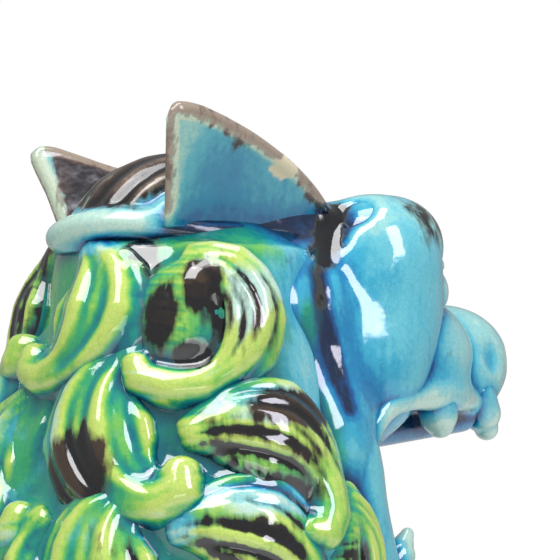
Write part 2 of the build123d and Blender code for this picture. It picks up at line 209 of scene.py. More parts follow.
# %% Shapes
def turned(x, y, z, centre, turn):
    x, y, z = x - centre[0], y - centre[1], z - centre[2]
    if turn is None:
        return x, y, z
    m = np.array(turn, float).T
    return (
        m[0, 0] * x + m[0, 1] * y + m[0, 2] * z,
        m[1, 0] * x + m[1, 1] * y + m[1, 2] * z,
        m[2, 0] * x + m[2, 1] * y + m[2, 2] * z,
    )


def egg(centre, radii, turn=None):
    a, b, c = radii
    reach = max(radii)
    low = [v - (reach if turn is not None else r) for v, r in zip(centre, radii)]
    high = [v + (reach if turn is not None else r) for v, r in zip(centre, radii)]

    def distance(x, y, z):
        x, y, z = turned(x, y, z, centre, turn)
        k0 = np.sqrt((x / a) ** 2 + (y / b) ** 2 + (z / c) ** 2)
        k1 = np.sqrt((x / a**2) ** 2 + (y / b**2) ** 2 + (z / c**2) ** 2)
        return np.where(k1 > 1e-6, k0 * (k0 - 1) / np.maximum(k1, 1e-6), -min(radii))

    return (low, high), distance


def ball(centre, radius):
    low = [v - radius for v in centre]
    high = [v + radius for v in centre]

    def distance(x, y, z):
        cx, cy, cz = centre
        return np.sqrt((x - cx) ** 2 + (y - cy) ** 2 + (z - cz) ** 2) - radius

    return (low, high), distance


def strand(points, radii):
    """A rod through several points with a radius at each."""
    points = [np.array(p, float) for p in points]
    if np.isscalar(radii):
        radii = [radii] * len(points)
    low = np.min([p - r for p, r in zip(points, radii)], axis=0)
    high = np.max([p + r for p, r in zip(points, radii)], axis=0)

    def distance(x, y, z):
        best = None
        for (p, q), (r, s) in zip(zip(points, points[1:]), zip(radii, radii[1:])):
            v = q - p
            length = max(float(v @ v), 1e-6)
            t = ((x - p[0]) * v[0] + (y - p[1]) * v[1] + (z - p[2]) * v[2]) / length
            t = np.clip(t, 0, 1)
            d = np.sqrt(
                (x - p[0] - t * v[0]) ** 2
                + (y - p[1] - t * v[1]) ** 2
                + (z - p[2] - t * v[2]) ** 2
            ) - (r + t * (s - r))
            best = d if best is None else np.minimum(best, d)
        return best

    return (low, high), distance


def hoop(middle, radius, first, second, count):
    """Points round a closed circle in the plane of two axes."""
    first, second = np.array(first), np.array(second)
    return [
        middle + radius * (first * math.cos(b) + second * math.sin(b))
        for b in np.linspace(0, 2 * math.pi, count)
    ]


def block(centre, half, rounding, turn=None):
    reach = float(np.linalg.norm(half))
    span = [reach] * 3 if turn is not None else half
    low = [v - s for v, s in zip(centre, span)]
    high = [v + s for v, s in zip(centre, span)]

    def distance(x, y, z):
        x, y, z = turned(x, y, z, centre, turn)
        qx = np.abs(x) - (half[0] - rounding)
        qy = np.abs(y) - (half[1] - rounding)
        qz = np.abs(z) - (half[2] - rounding)
        outside = np.sqrt(
            np.maximum(qx, 0) ** 2 + np.maximum(qy, 0) ** 2 + np.maximum(qz, 0) ** 2
        )
        return outside + np.minimum(np.maximum(np.maximum(qx, qy), qz), 0) - rounding

    return (low, high), distance


def tower(slices):
    """A smooth form through horizontal ellipses: height, middle in X and Y, half widths."""
    rows = np.array(slices, float)
    z_at = rows[:, 0]
    low = [(rows[:, 1] - rows[:, 3]).min(), (rows[:, 2] - rows[:, 4]).min(), z_at[0]]
    high = [(rows[:, 1] + rows[:, 3]).max(), (rows[:, 2] + rows[:, 4]).max(), z_at[-1]]
    fine_z = np.linspace(z_at[0], z_at[-1], 200)
    slopes = np.gradient(rows[:, 1:], z_at, axis=0)
    fine = []
    for column in range(4):
        values = np.empty_like(fine_z)
        for i, zz in enumerate(fine_z):
            k = min(np.searchsorted(z_at, zz, side="right") - 1, len(z_at) - 2)
            h = z_at[k + 1] - z_at[k]
            t = (zz - z_at[k]) / h
            values[i] = (
                (2 * t**3 - 3 * t**2 + 1) * rows[k, column + 1]
                + (t**3 - 2 * t**2 + t) * h * slopes[k, column]
                + (3 * t**2 - 2 * t**3) * rows[k + 1, column + 1]
                + (t**3 - t**2) * h * slopes[k + 1, column]
            )
        fine.append(values)

    def distance(x, y, z):
        flat_z = z.reshape(-1)
        cx, cy, a, b = (np.interp(flat_z, fine_z, f)[None, None, :] for f in fine)
        px, py = (x - cx) / a, (y - cy) / b
        k0 = np.sqrt(px**2 + py**2)
        k1 = np.sqrt((px / a) ** 2 + (py / b) ** 2)
        side = np.where(k1 > 1e-6, k0 * (k0 - 1) / np.maximum(k1, 1e-6), -np.minimum(a, b))
        cap = np.maximum(z_at[0] - z, z - z_at[-1])
        return np.maximum(side, cap)

    return (low, high), distance


def mirrored(shape):
    (low, high), distance = shape
    return ([-high[0], low[1], low[2]], [-low[0], high[1], high[2]]), (
        lambda x, y, z: distance(-x, y, z)
    )


# %% [markdown]
# Skinning: OpenVDB turns a block into quads, and the quads are then eased towards their
# neighbours and put back on the surface, which takes out the grid's stair steps.

# %% Skinning
def skin(clay, ease=2):
    grid = vdb.FloatGrid(FAR)
    grid.copyFromArray(np.ascontiguousarray(clay.field))
    points, quads = grid.convertToQuads(isovalue=0.0)
    points = points.astype(float) * clay.step + clay.low
    quads = quads.astype(np.int64)
    ring = np.concatenate([quads[:, [0, 1]], quads[:, [1, 2]], quads[:, [2, 3]], quads[:, [3, 0]]])
    ring = np.concatenate([ring, ring[:, ::-1]])
    share = np.bincount(ring[:, 0], minlength=len(points)).astype(float)
    for _ in range(ease):
        mean = np.stack(
            [np.bincount(ring[:, 0], points[ring[:, 1], i], len(points)) for i in range(3)], 1
        )
        points = points * 0.4 + 0.6 * mean / np.maximum(share, 1)[:, None]
        slope = clay.slope(points)
        strength = np.maximum((slope**2).sum(1), 0.25)
        step = clay.sample(points) / strength
        points = points - slope * np.clip(step, -clay.step, clay.step)[:, None]
    a, b, c, d = (points[quads[:, i]] for i in range(4))
    normal = np.cross(c - a, d - b)
    inward = (normal * clay.slope((a + b + c + d) / 4)).sum() < 0
    if inward:
        quads = quads[:, ::-1]
    return points, quads


def make_mesh(name, points, quads):
    mesh = bpy.data.meshes.new(name)
    mesh.vertices.add(len(points))
    mesh.vertices.foreach_set("co", (points * MM).astype(np.float32).ravel())
    mesh.loops.add(quads.size)
    mesh.loops.foreach_set("vertex_index", quads.ravel().astype(np.int32))
    mesh.polygons.add(len(quads))
    mesh.polygons.foreach_set("loop_start", np.arange(0, quads.size, 4, dtype=np.int32))
    mesh.polygons.foreach_set("use_smooth", np.ones(len(quads), bool))
    mesh.update(calc_edges=True)
    mesh.validate()
    return mesh


def mesh_points(mesh):
    flat = np.empty(len(mesh.vertices) * 3, np.float32)
    mesh.vertices.foreach_get("co", flat)
    return flat.reshape(-1, 3).astype(float) / MM


def put(mesh, name, values):
    attribute = mesh.attributes.get(name) or mesh.attributes.new(name, "FLOAT", "POINT")
    attribute.data.foreach_set("value", np.asarray(values, np.float32))


def get(mesh, name):
    values = np.zeros(len(mesh.vertices), np.float32)
    if name in mesh.attributes:
        mesh.attributes[name].data.foreach_get("value", values)
    return values


PIECES = {}


def piece(name, clay, nodes, slot, ease=2):
    points, quads = skin(clay, ease)
    mesh = make_mesh(name, points, quads)
    obj = bpy.data.objects.new(name, mesh)
    bpy.context.scene.collection.objects.link(obj)
    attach(obj, "root")
    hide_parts(*nodes)
    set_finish(obj, slot)
    PIECES[name] = {"object": obj, "clay": clay}
    print(name, len(points), "points", np.round(points.min(0), 1), np.round(points.max(0), 1))
    return obj


# %% [markdown]
# ## The head's own frame
#
# The face is laid out from the middle of the head at eye level: `u` forward, `l` to the dog's
# right, `z` up.

# %% Head frame
HEAD_Y, HEAD_Z = -14.0, 284.0


def head(u, l, z):
    return (-l, HEAD_Y - u, HEAD_Z + z)


def path(side, *spots):
    """Points in the head's frame, on one side of it."""
    return [head(u, side * l, z) for u, l, z in spots]


def head_egg(u, l, z, along, across, up, pitch=0.0, yaw=0.0):
    """An egg in the head: half sizes along u, across l and up z, pitched nose down, yawed out."""
    p, w = math.radians(pitch), math.radians(yaw)
    turn = Matrix.Rotation(w, 3, "Z") @ Matrix.Rotation(p, 3, "X")
    return egg(head(u, l, z), (across, along, up), None if not (pitch or yaw) else turn)


# %% [markdown]
# ## Neck
#
# The wall of the neck carries the mane. Its slices follow the CAD neck.

# %% Neck slices
NECK = [
    (180, 0, 4, 35, 35),
    (205, 0, 8, 42, 38),
    (230, 0, 12, 41, 36),
    (254, 0, 10.5, 36, 30),
    (272, 0, 9, 31, 26.5),
    (288, 0, 8, 27, 24),
]


def neck_at(z):
    rows = np.array(NECK, float)
    return [float(np.interp(z, rows[:, 0], rows[:, c])) for c in (2, 3, 4)]


# %% [markdown]
# ## Curl moulds
#
# A curl is a bundle of hair strands that fans out from its root, sweeps round and rolls up into a
# knob. Each mould gives the line of the sweep, how wide the bundle is along it, and how high it
# stands. The strands follow that line side by side, so the comb marks run the way hair would.

# %% Curl moulds
CURL_STEP = 0.52
CURL_BEND = 34.0  # radius that every curl is bent to, about the upright axis


def line_through(points, count):
    """Evenly spaced points on a Catmull-Rom curve."""
    p = np.array(points, float)
    p = np.vstack([2 * p[0] - p[1], p, 2 * p[-1] - p[-2]])
    dense = []
    for i in range(1, len(p) - 2):
        for t in np.linspace(0, 1, 24, endpoint=False):
            dense.append(
                0.5
                * (
                    2 * p[i]
                    + (p[i + 1] - p[i - 1]) * t
                    + (2 * p[i - 1] - 5 * p[i] + 4 * p[i + 1] - p[i + 2]) * t**2
                    + (3 * p[i] - p[i - 1] - 3 * p[i + 1] + p[i + 2]) * t**3
                )
            )
    dense.append(p[-2])
    dense = np.array(dense)
    run = np.concatenate([[0], np.cumsum(np.linalg.norm(np.diff(dense, axis=0), axis=1))])
    at = np.linspace(0, run[-1], count)
    return np.stack([np.interp(at, run, dense[:, i]) for i in range(dense.shape[1])], 1)


def curl_mould(spine, widths, heights, strands, hook, extra=()):
    clay = Clay((-16, -19, -3.6), (16, 19, 10.5), CURL_STEP)
    count = 13
    line = line_through(spine, count)
    along = np.gradient(line, axis=0)
    along /= np.linalg.norm(along, axis=1)[:, None]
    side = np.stack([-along[:, 1], along[:, 0]], 1)
    t = np.linspace(0, 1, count)
    half = np.interp(t, np.linspace(0, 1, len(widths)), widths)
    rise = np.interp(t, np.linspace(0, 1, len(heights)), heights)
    for shape in extra:
        clay.add(shape, 2.0)
    for k, s in enumerate(np.linspace(-1, 1, strands)):
        lift = math.sqrt(max(1 - 0.74 * s * s, 0.05))
        # hand-combed strands wander and differ in width
        wander = 0.10 * np.sin(2.2 * t * math.pi + 1.9 * k) / max(strands - 4, 1)
        spot = line + side * (half * (s + wander))[:, None]
        thick = np.maximum(half / strands * (1.24 + 0.22 * math.sin(2.4 * k + strands)), 1.0)
        height = rise * lift + 0.42 * math.sin(2.9 * k + 2 * strands) - thick * 0.4
        clay.add(strand([(x, y, h) for (x, y), h in zip(spot, height)], list(thick)), 1.3)
        for layer in (0.66, 0.33, 0.0):
            lower = [(x, y, h * layer - 0.5 * (1 - layer)) for (x, y), h in zip(spot, height)]
            clay.add(strand(lower, list(thick * 1.12)), 0.5)
    points, radii = hook
    clay.add(strand(points, radii), 2.4)
    clay.add(strand([(x, y, z * 0.3) for x, y, z in points], [r * 1.05 for r in radii]), 1.6)
    # the glaze rounds the comb marks off
    clay.field = soften(clay.field, 0.62 / CURL_STEP)
    clay.line, clay.half = line, half
    return clay


MOULDS = {
    "a": curl_mould(
        [(-1, 14), (-5.5, 8), (-6, 0), (-2.5, -7), (3.5, -10.6), (8, -9.6)],
        [1.8, 6.4, 8.6, 7.8, 5.2, 3.0], [1.4, 4.4, 5.8, 5.6, 5.0, 4.2], 6,
        (
            [(1.5, -10.6, 3.0), (6.0, -11.2, 3.6), (9.2, -9.2, 3.8), (9.0, -6.4, 3.8)],
            [2.4, 2.9, 3.1, 2.7],
        ),
    ),
    "b": curl_mould(
        [(-4, 13), (2.5, 12), (7.6, 5), (6.8, -4), (1.0, -10.2), (-5, -10.6)],
        [2.4, 4.6, 5.0, 4.6, 3.6, 2.8], [2.6, 5.4, 6.6, 6.2, 5.0, 4.0], 5,
        (
            [(1.0, -10.4, 3.2), (-4.0, -11.6, 3.4), (-8.8, -10.4, 3.4), (-10.2, -7.8, 3.4)],
            [2.6, 3.0, 3.0, 2.4],
        ),
        (egg((-3.6, 3.0, 0.6), (8.6, 10.4, 4.9)), egg((-1.5, 8.5, 1.5), (5.0, 5.2, 4.6))),
    ),
    "c": curl_mould(
        [(-12, 6), (-6, 6.6), (2, 4.6), (8, -0.5), (10, -6.5), (9, -10.5)],
        [2.0, 6.6, 8.6, 6.8, 4.2, 3.0], [2.0, 5.0, 6.0, 5.6, 4.8, 4.2], 7,
        (
            [(10.4, -4.6, 3.2), (10.6, -9.2, 3.6), (8.4, -12.2, 3.8), (5.4, -11.6, 3.6)],
            [2.6, 3.0, 3.1, 2.5],
        ),
    ),
}
for name in list(MOULDS):
    twin = Clay((-16, -19, -3.6), (16, 19, 10.5), CURL_STEP)
    twin.field = np.ascontiguousarray(MOULDS[name].field[::-1])
    twin.low = MOULDS[name].low.copy()
    twin.low[0] = -(MOULDS[name].low[0] + CURL_STEP * (twin.field.shape[0] - 1))
    twin.line, twin.half = MOULDS[name].line * [-1, 1], MOULDS[name].half
    MOULDS[name + "2"] = twin
KINDS = sorted(MOULDS)
print("moulds", KINDS)

# %% [markdown]
# ## Where each curl sits
#
# Rows are staggered like roof tiles. A curl's place is its angle about the neck, from straight
# back (0) to the dog's right (90), and its height. The last numbers are its size and how far it
# is turned in its own plane.

# %% Curl places
# row: [(angle, height, mould, width, length, turn), ...]
ROWS = {
    "mane_curls_row_1": [
        (-84, 277, "b", 0.90, 0.92, 0),
        (-36, 276, "a", 0.92, 0.98, 0),
        (12, 275, "a2", 1.14, 0.96, 6),
        (62, 272.5, "b", 1.08, 0.98, -8),
    ],
    "mane_curls_row_2": [
        (-87, 249, "c2", 1.0, 1.0, 0),
        (-44, 257, "a2", 1.0, 1.02, 0),
        (-4, 246, "a", 1.14, 1.10, 0),
        (41, 254, "a", 1.14, 1.12, 4),
        (84, 249, "c", 1.12, 1.04, 0),
    ],
    "mane_curls_row_3": [
        (-112, 231, "b2", 0.94, 0.96, 0),
        (-78, 233, "c2", 1.0, 1.0, 0),
        (-44, 233, "a2", 1.0, 0.96, 0),
        (-14, 236, "a2", 0.94, 1.0, 0),
        (20, 226, "a", 1.10, 1.0, 0),
        (47, 231, "a", 1.12, 1.02, 0),
        (78, 233, "c", 1.10, 1.0, 0),
        (110, 229, "b", 0.94, 0.98, 0),
    ],
    "mane_curls_row_4": [
        (angle, 209 + 3 * (n % 2), ("a", "c", "b")[n % 3] + ("2" if angle < 0 else ""), 1.0, 1.0, 0)
        for n, angle in enumerate(range(-122, 123, 27))
    ],
    "mane_curls_row_5": [
        (angle, 190, ("c", "a", "b")[n % 3] + ("2" if angle < 0 else ""), 0.94, 0.72, 0)
        for n, angle in enumerate(range(-136, 137, 30))
    ],
}


def curl_frame(place):
    """The spot on the neck and the curl's own axes there: across, up and out."""
    angle, z, kind, wide, long, turn = place
    middle, a, b = neck_at(z)
    t = math.radians(angle)
    spot = np.array([-a * math.sin(t), middle + b * math.cos(t), z])
    above, below = neck_at(z + 6), neck_at(z - 6)
    flare = (below[1] + below[2] - above[1] - above[2]) / 2 / 12
    out = np.array([-math.sin(t) / a, math.cos(t) / b, 0.0])
    out /= np.linalg.norm(out)
    out = out + np.array([0, 0, flare])
    out /= np.linalg.norm(out)
    across = np.cross([0, 0, 1.0], out)
    across /= np.linalg.norm(across)
    up = np.cross(out, across)
    r = math.radians(turn)
    across, up = across * math.cos(r) + up * math.sin(r), up * math.cos(r) - across * math.sin(r)
    return spot, across, up, out


def curl_shape(place, swell=0.0):
    """The curl as a clay shape, for easing the neck up to it and for finding hollows."""
    spot, across, up, out = curl_frame(place)
    kind, wide, long = place[2], place[3], place[4]
    mould = MOULDS[kind]

    def distance(x, y, z):
        x, y, z = np.broadcast_arrays(x, y, z)
        p = np.stack([x.ravel() - spot[0], y.ravel() - spot[1], z.ravel() - spot[2]], 1)
        a, b, c = p @ across / wide, p @ up / long, p @ out
        c = c + a * a / (2 * CURL_BEND)
        return mould.sample(np.stack([a, b, c], 1)).reshape(x.shape) * 0.92 - swell

    reach = 19.0
    return (list(spot - reach), list(spot + reach)), distance


# %% [markdown]
# The neck's clay is drawn up a little round every curl, where slip and glaze gather.

# %% Neck
neck = Clay((-52, -42, 176), (52, 56, 296), 1.0)
neck.add(tower(NECK))
neck.add(egg((0, 8, 284), (26, 23, 14)), 6)
for row in ROWS.values():
    for place in row:
        neck.add(curl_shape(place, swell=-1.2), 3.8)
neck.cut(block((0, 5, 172), (60, 60, 8.2), 0.5))
piece("neck_and_mane_core", neck, ["neck_shell"], "body_glaze")

# %% [markdown]
# ## Ears
#
# Each ear is cut from a rolled slab. Its outline is drawn in the slab's own plane: along the root
# from back to front, and up. The outer face is dished a little with a thumb.

# %% Ears
EAR = {
    "right": [
        (1.4, -6), (0.4, 3), (-1.2, 11), (-2.4, 17), (-2.9, 19.6), (-2.3, 21.4), (-0.8, 22.1),
        (1.2, 22.0), (4.5, 21.3), (10.8, 19.4), (17, 16.8), (22.1, 14.2), (27, 11.4), (31.2, 8.5),
        (35, 5.4), (38, 2.2), (39.6, -1), (40, -7),
    ],
    "left": [
        (0.6, -6), (-0.4, 3), (-1.2, 10), (-2.2, 15), (-2.6, 17.6), (-2.2, 19.2), (-0.6, 19.9),
        (2, 19.5), (6, 18.0), (11.3, 15.6), (18, 13), (26, 9.5), (33, 5.5), (38, 1), (40, -6),
    ],
}


def slab(origin, across, up, outline, thick, round_by=1.0):
    """A slab with a rounded rim, behind its outer face; thick is its thickness along the root."""
    across, up = np.array(across, float), np.array(up, float)
    out = np.cross(across, up)
    poly = np.array(outline, float)
    corners = [
        np.array(origin) + across * p[0] + up * p[1] + out * s for p in poly for s in (-8, 2)
    ]

    def distance(x, y, z):
        x, y, z = x - origin[0], y - origin[1], z - origin[2]
        a = x * across[0] + y * across[1] + z * across[2]
        b = x * up[0] + y * up[1] + z * up[2]
        c = x * out[0] + y * out[1] + z * out[2]
        best = np.full(np.broadcast(a, b).shape, 1e9)
        inside = np.zeros(best.shape, bool)
        for p, q in zip(poly, np.roll(poly, -1, 0)):
            ex, ey = q - p
            wx, wy = a - p[0], b - p[1]
            t = np.clip((wx * ex + wy * ey) / (ex * ex + ey * ey), 0, 1)
            best = np.minimum(best, (wx - ex * t) ** 2 + (wy - ey * t) ** 2)
            crossing = (
                ((p[1] > b) != (q[1] > b))
                & (a < (q[0] - p[0]) * (b - p[1]) / ((q[1] - p[1]) or 1e-9) + p[0])
            )
            inside ^= crossing
        flat = np.where(inside, -1, 1) * np.sqrt(best) + round_by
        depth = thick(a)
        sunk = 0.8 * np.exp(-(((a - 12) / 12) ** 2 + ((b - 8) / 7) ** 2))
        level = np.abs(c + depth / 2 + sunk / 2) - (depth / 2 - sunk / 2) + round_by
        return np.minimum(np.maximum(flat, level), 0) + np.sqrt(
            np.maximum(flat, 0) ** 2 + np.maximum(level, 0) ** 2
        ) - round_by

    return (list(np.min(corners, 0)), list(np.max(corners, 0))), distance


def ear_axes(root_rear, root_front, tip):
    """The rear end of the root, and the slab's own axes: along the root and up."""
    rear, front, top = (np.array(head(*p)) for p in (root_rear, root_front, tip))
    across = front - rear
    across /= np.linalg.norm(across)
    up = (top - rear) - across * ((top - rear) @ across)
    up /= np.linalg.norm(up)
    return rear, across, up


EARS = {}
for side, word, rear_z, tip in (
    (1, "right", 8.6, (-41, 28, 29.0)), (-1, "left", 7.5, (-42, 28.5, 27.0))
):
    # both are laid out on the right side; the left one is then mirrored
    rear, across, up = ear_axes((-39, 20, rear_z), (2, 17.5, 11), tip)
    back = np.cross(across, up)
    # the slab is thin at its rear edge and thick at its front
    edge = 1.2 if side == 1 else 3.0

    def thickness(a, t=edge):
        front = 1.4 * np.clip((a - 18) / 24, 0, 1)
        return t + (3.8 - t) * np.clip((a + 3) / 12, 0, 1) + front

    box, plate = slab(rear, across, up, EAR[word], thickness, 1.1)
    rim_line = [
        rear + across * (a + (0.9 if a < 5 else -0.2)) + up * (b - 1.1) - back * 1.3
        for a, b in EAR[word][6:-1]
    ]
    rim = strand(line_through(rim_line, 40), 1.55)[1]
    shape = (box, lambda x, y, z, f=plate, g=rim: soft_min(f(x, y, z), g(x, y, z), 1.0))
    shape = shape if side == 1 else mirrored(shape)
    EARS[word] = {"side": side, "rear": rear, "across": across, "up": up, "shape": shape}
    clay = side_clay(side, -36, -8, (-26, 286), (38, 324), 0.42)
    clay.add(EARS[word]["shape"])
    clay.cut(block((0, 0, 280), (60, 60, 12), 0.5))
    piece("ear_slab_" + word, clay, ["ear_" + word], "ear_glaze")

# %% [markdown]
# ## Head
#
# Cheek masses, brows and muzzle are luted on to the cranium. The groove that runs down each cheek
# parts the face from the mane.

# %% Head
def skin_line(clay, side, spots, out=0.0):
    """Points on the outside of a clay form where it faces sideways, at each (u, z)."""
    line = []
    for u, z in spots:
        reach = np.linspace(42, 4, 153)
        d = clay.sample(np.array([head(u, side * l, z) for l in reach]))
        inside = np.nonzero(d < 0)[0]
        l = reach[inside[0]] if len(inside) else 20
        line.append(head(u, side * (l + out), z))
    return line


# the groove between face and mane, as (forward, up) from behind the brow down the cheek
GROOVE = [(0, 11), (-3, 7.5), (-6.5, 4), (-9.2, 0), (-9.6, -6), (-8.6, -13), (-7.4, -19)]
GROOVES = {}
skull = Clay((-40, -72, 222), (40, 26, 312), 0.7)
skull.add(head_egg(-12, 0, -4, 28, 26, 18))
skull.add(head_egg(8, 0, -2, 21, 22, 17), 6)
for side in (-1, 1):
    skull.add(head_egg(-8, side * 15, -22, 19, 15, 27), 7)
    skull.add(head_egg(-16, side * 16, -7, 13, 12, 11), 5)
    skull.add(head_egg(11, side * 17, 4.5, 13.5, 12, 12.2), 6)
    skull.add(head_egg(11, side * 16, -8, 14, 13, 15), 7)
    skull.add(strand(path(side, (-8, 23, -34), (-7, 23, -58)), [10.5, 9]), 6)
    skull.add(head_egg(8, side * 19, -18, 11, 10, 13), 6)
    skull.add(head_egg(-3, side * 11, 8, 12, 8, 6), 4)
    skull.add(strand(path(side, (-7, 24, -28), (-6, 24, -46)), [8, 7.5]), 6)
for side in (-1, 1):
    # a thumb press in front of each ear, where the brown glaze gathers
    press = path(side, (-26, 26, 17.5), (-14, 24.5, 15), (-4, 23, 13.8), (1.5, 22, 14.6))
    skull.cut(strand(press, [3.5, 4.5, 5.0, 4.4]), 3.0)
    scored = skin_line(skull, side, [*GROOVE, (-6.6, -24)], out=2.0)
    GROOVES[side] = skin_line(skull, side, [*GROOVE, (-6.4, -25)])
    skull.cut(strand(scored, [1.0, 1.7, 1.9, 2.0, 1.9, 1.7, 1.3, 0.8]), 2.8)
for ear in EARS.values():
    (ear_low, ear_high), ear_distance = ear["shape"]
    skull.add(((ear_low, ear_high), lambda x, y, z, d=ear_distance: d(x, y, z) + 0.9), 3.6)
    skull.cut(block((0, 12, 330), (60, 60, 330 - HEAD_Z - 17.5), 0.5), 1.5)
piece("head_and_cheeks", skull, ["head_shell"], "body_glaze")

# %% Muzzle
muzzle = Clay((-34, -78, 244), (34, -12, 300), 0.6)
muzzle.add(head_egg(16, 0, -12, 20, 22, 15))
muzzle.add(head_egg(31, 0, -15.5, 13, 13.5, 9.8), 6)
for side in (-1, 1):
    muzzle.add(head_egg(20, side * 14, -15, 16, 11, 11), 5)
    lip = path(
        side, (0.5, 26.6, -37), (1.6, 26.9, -31), (5.0, 26.8, -26.2), (10.4, 25.8, -23.8),
        (19, 23.4, -23.2), (27, 20.6, -23.4), (36, 15.0, -24.2), (43, 9.0, -24.4), (45.5, 0, -24.4),
    )
    muzzle.add(strand(line_through(lip, 30), 2.6), 5.5)
# the roof of the mouth hangs a little below the lip
muzzle.add(
    block(head(24, 0, -25.6), (15, 16, 6.8), 3.5, Matrix.Rotation(math.radians(-7), 3, "X")), 2.0
)
piece("upper_jaw_clay", muzzle, ["upper_jaw"], "body_glaze")

nose = Clay((-20, -76, 250), (20, -32, 290), 0.5)
nose.add(head_egg(37.5, 0, -15.4, 13, 11, 9.6))
for side in (-1, 1):
    nose.add(head_egg(38.8, side * 6.4, -16.8, 13.0, 9.0, 10.8), 7)
    nose.add(head_egg(36, side * 9.5, -20, 10.5, 6.5, 6.0), 4)
    nose.cut(head_egg(43.0, side * 16.3, -15.0, 2.2, 1.4, 2.8), 2.4)
    nose.cut(head_egg(51.0, side * 8.0, -16.0, 3.2, 2.8, 2.4), 2.0)
    nose.add(
        strand(
            path(side, (32, 15, -22.8), (40, 12.6, -23.6), (46, 7.6, -23.6), (48.5, 0, -23.4)), 1.8
        ),
        2.6,
    )
piece("nose_clay", nose, ["nose"], "body_glaze")

for side, word in ((1, "right"), (-1, "left")):
    brow = side_clay(side, -32, -4, (-50, 276), (-6, 308), 0.5)
    brow.add(head_egg(12.0, side * 17, 5.0, 12.6, 11.0, 11.4))
    brow.add(head_egg(17, side * 16, 7, 8.6, 9.4, 8.6), 3)
    brow.cut(strand(path(side, (21, 26, -1), (25.5, 19, 1.0), (26, 12, 0)), 1.3), 1.8)
    piece("brow_clay_" + word, brow, ["brow_" + word], "dark_glaze")
    eye = side_clay(side, -26, -6, (-50, 272), (-26, 294), 0.4)
    eye.add(head_egg(20.5, side * 17, -2.5, 7.2, 7.0, 6.6))
    eye.cut(ball(head(28.5, side * 19.5, -2.5), 1.4), 0.8)
    eye.add(strand(path(side, (24, 21, 2.6), (27, 17, 3.4), (26, 12, 2.6)), 1.1), 0.8)
    eye.add(strand(path(side, (24, 21, -7.0), (26.2, 17, -8.0), (25, 12, -7.0)), 1.1), 0.8)
    piece("eyeball_" + word, eye, ["eye_" + word], "eye_glaze")

# %% [markdown]
# ## Crest
#
# The roll of hair between the ears is combed from its front over the top and down the back. A
# rolled lip of clay runs round its lower edge.

# %% Crest
crest = Clay((-26, -22, 280), (26, 46, 314), 0.5)
crest.add(head_egg(-23, 0, 4, 24.5, 17.5, 18.5))
for n in range(-3, 4):
    sweep = n * 0.30
    ridge = []
    for t in np.linspace(-0.72, 0.80, 12):
        lean = t * 1.45
        width = math.sin(sweep) * 18.0
        ridge.append(
            head(
                -23 - 24.4 * math.sin(lean) * math.cos(sweep * 0.75),
                width * (0.62 + 0.38 * math.cos(lean * 0.9)) + 2.4 * math.sin(lean + 0.5),
                4 + 18.2 * math.cos(lean) * math.cos(sweep),
            )
        )
    crest.add(strand(ridge, [1.9] * 8 + [1.7, 1.3, 0.8, 0.3]), 3.0)
lip = []
for n in range(17):
    t = math.radians(-92 + 184 * n / 16)
    lip.append(head(-23 - 25.0 * math.cos(t), 18.8 * math.sin(t), 8.0 + 1.0 * math.sin(3 * t)))
crest.add(strand(line_through(lip, 60), 2.7), 2.6)
crest.field = soften(crest.field, 0.85 / crest.step)
crest.cut(block((0, 12, 280), (60, 60, 8), 0.5))
piece("crest_roll", crest, ["crest"], "crest_glaze")

# %% [markdown]
# ## Lower jaw, teeth, tongue and beard

# %% Lower jaw
jaw = Clay((-38, -58, 190), (38, 12, 262), 0.7)
jaw.add(
    tower(
        [(194, 0, -30, 12, 14), (201, 0, -31, 20, 20), (209, 0, -30, 23, 23), (215, 0, -29, 24, 24)]
    )
)
jaw.cut(head_egg(16, 0, -62, 21, 17, 9), 2.5)
for side in (-1, 1):
    hinge = path(
        side, (-4, 25.5, -30), (-2, 26.5, -36), (-1.2, 27, -44), (1.0, 26.8, -51), (5.0, 25.8, -59),
        (12, 23.5, -66), (26, 17, -70.5), (37, 0, -70.5),
    )
    jaw.add(
        strand(
            line_through(hinge, 30),
            list(
                np.interp(np.linspace(0, 1, 30), [0, 0.2, 0.5, 0.75, 1], [5.6, 5.8, 5.4, 3.8, 3.2])
            ),
        ),
        4,
    )
    jaw.add(strand(path(side, (-8, 23, -30), (-6, 22.5, -56), (4, 16, -80)), [9.5, 11, 8]), 6)
    jaw.cut(
        strand(path(side, (-9.4, 34.2, -38), (-7.2, 34.4, -52), (-6, 33.6, -70)), [1.2, 1.8, 1.2]),
        3,
    )
jaw.add(head_egg(28, 0, -81, 9, 10, 7), 4)
piece("lower_jaw_clay", jaw, ["lower_jaw"], "jaw_glaze")

tongue = Clay((-12, -58, 200), (12, -14, 226), 0.5)
tongue.add(strand([head(2, 0, -68), head(16, 0, -67), head(28, 0, -68)], [6.5, 7.0, 5.6]))
tongue.cut(strand([head(0, 0, -60), head(16, 0, -58.6), head(32, 0, -60.5)], 1.6), 1.8)
piece("tongue_clay", tongue, ["tongue"], "dark_glaze")

upper = Clay((-28, -72, 244), (28, -30, 268), 0.4)
for side in (-1, 1):
    upper.add(
        strand(
            path(side, (23.5, 20.4, -24), (24.3, 20.2, -27), (25.0, 19.8, -28.6)), [4.2, 3.9, 3.0]
        )
    )
    upper.add(
        strand(
            path(side, (40.5, 11.6, -23), (42.6, 11.6, -27), (44.2, 11.2, -30.2)), [4.6, 4.0, 2.5]
        )
    )
    for u, l in ((45.5, 2.2), (44.6, 6.2)):
        upper.add(strand(path(side, (u, l, -22), (u, l, -27.5)), [2.0, 1.7]), 0.5)
piece("upper_teeth_clay", upper, ["upper_teeth"], "tooth_glaze")

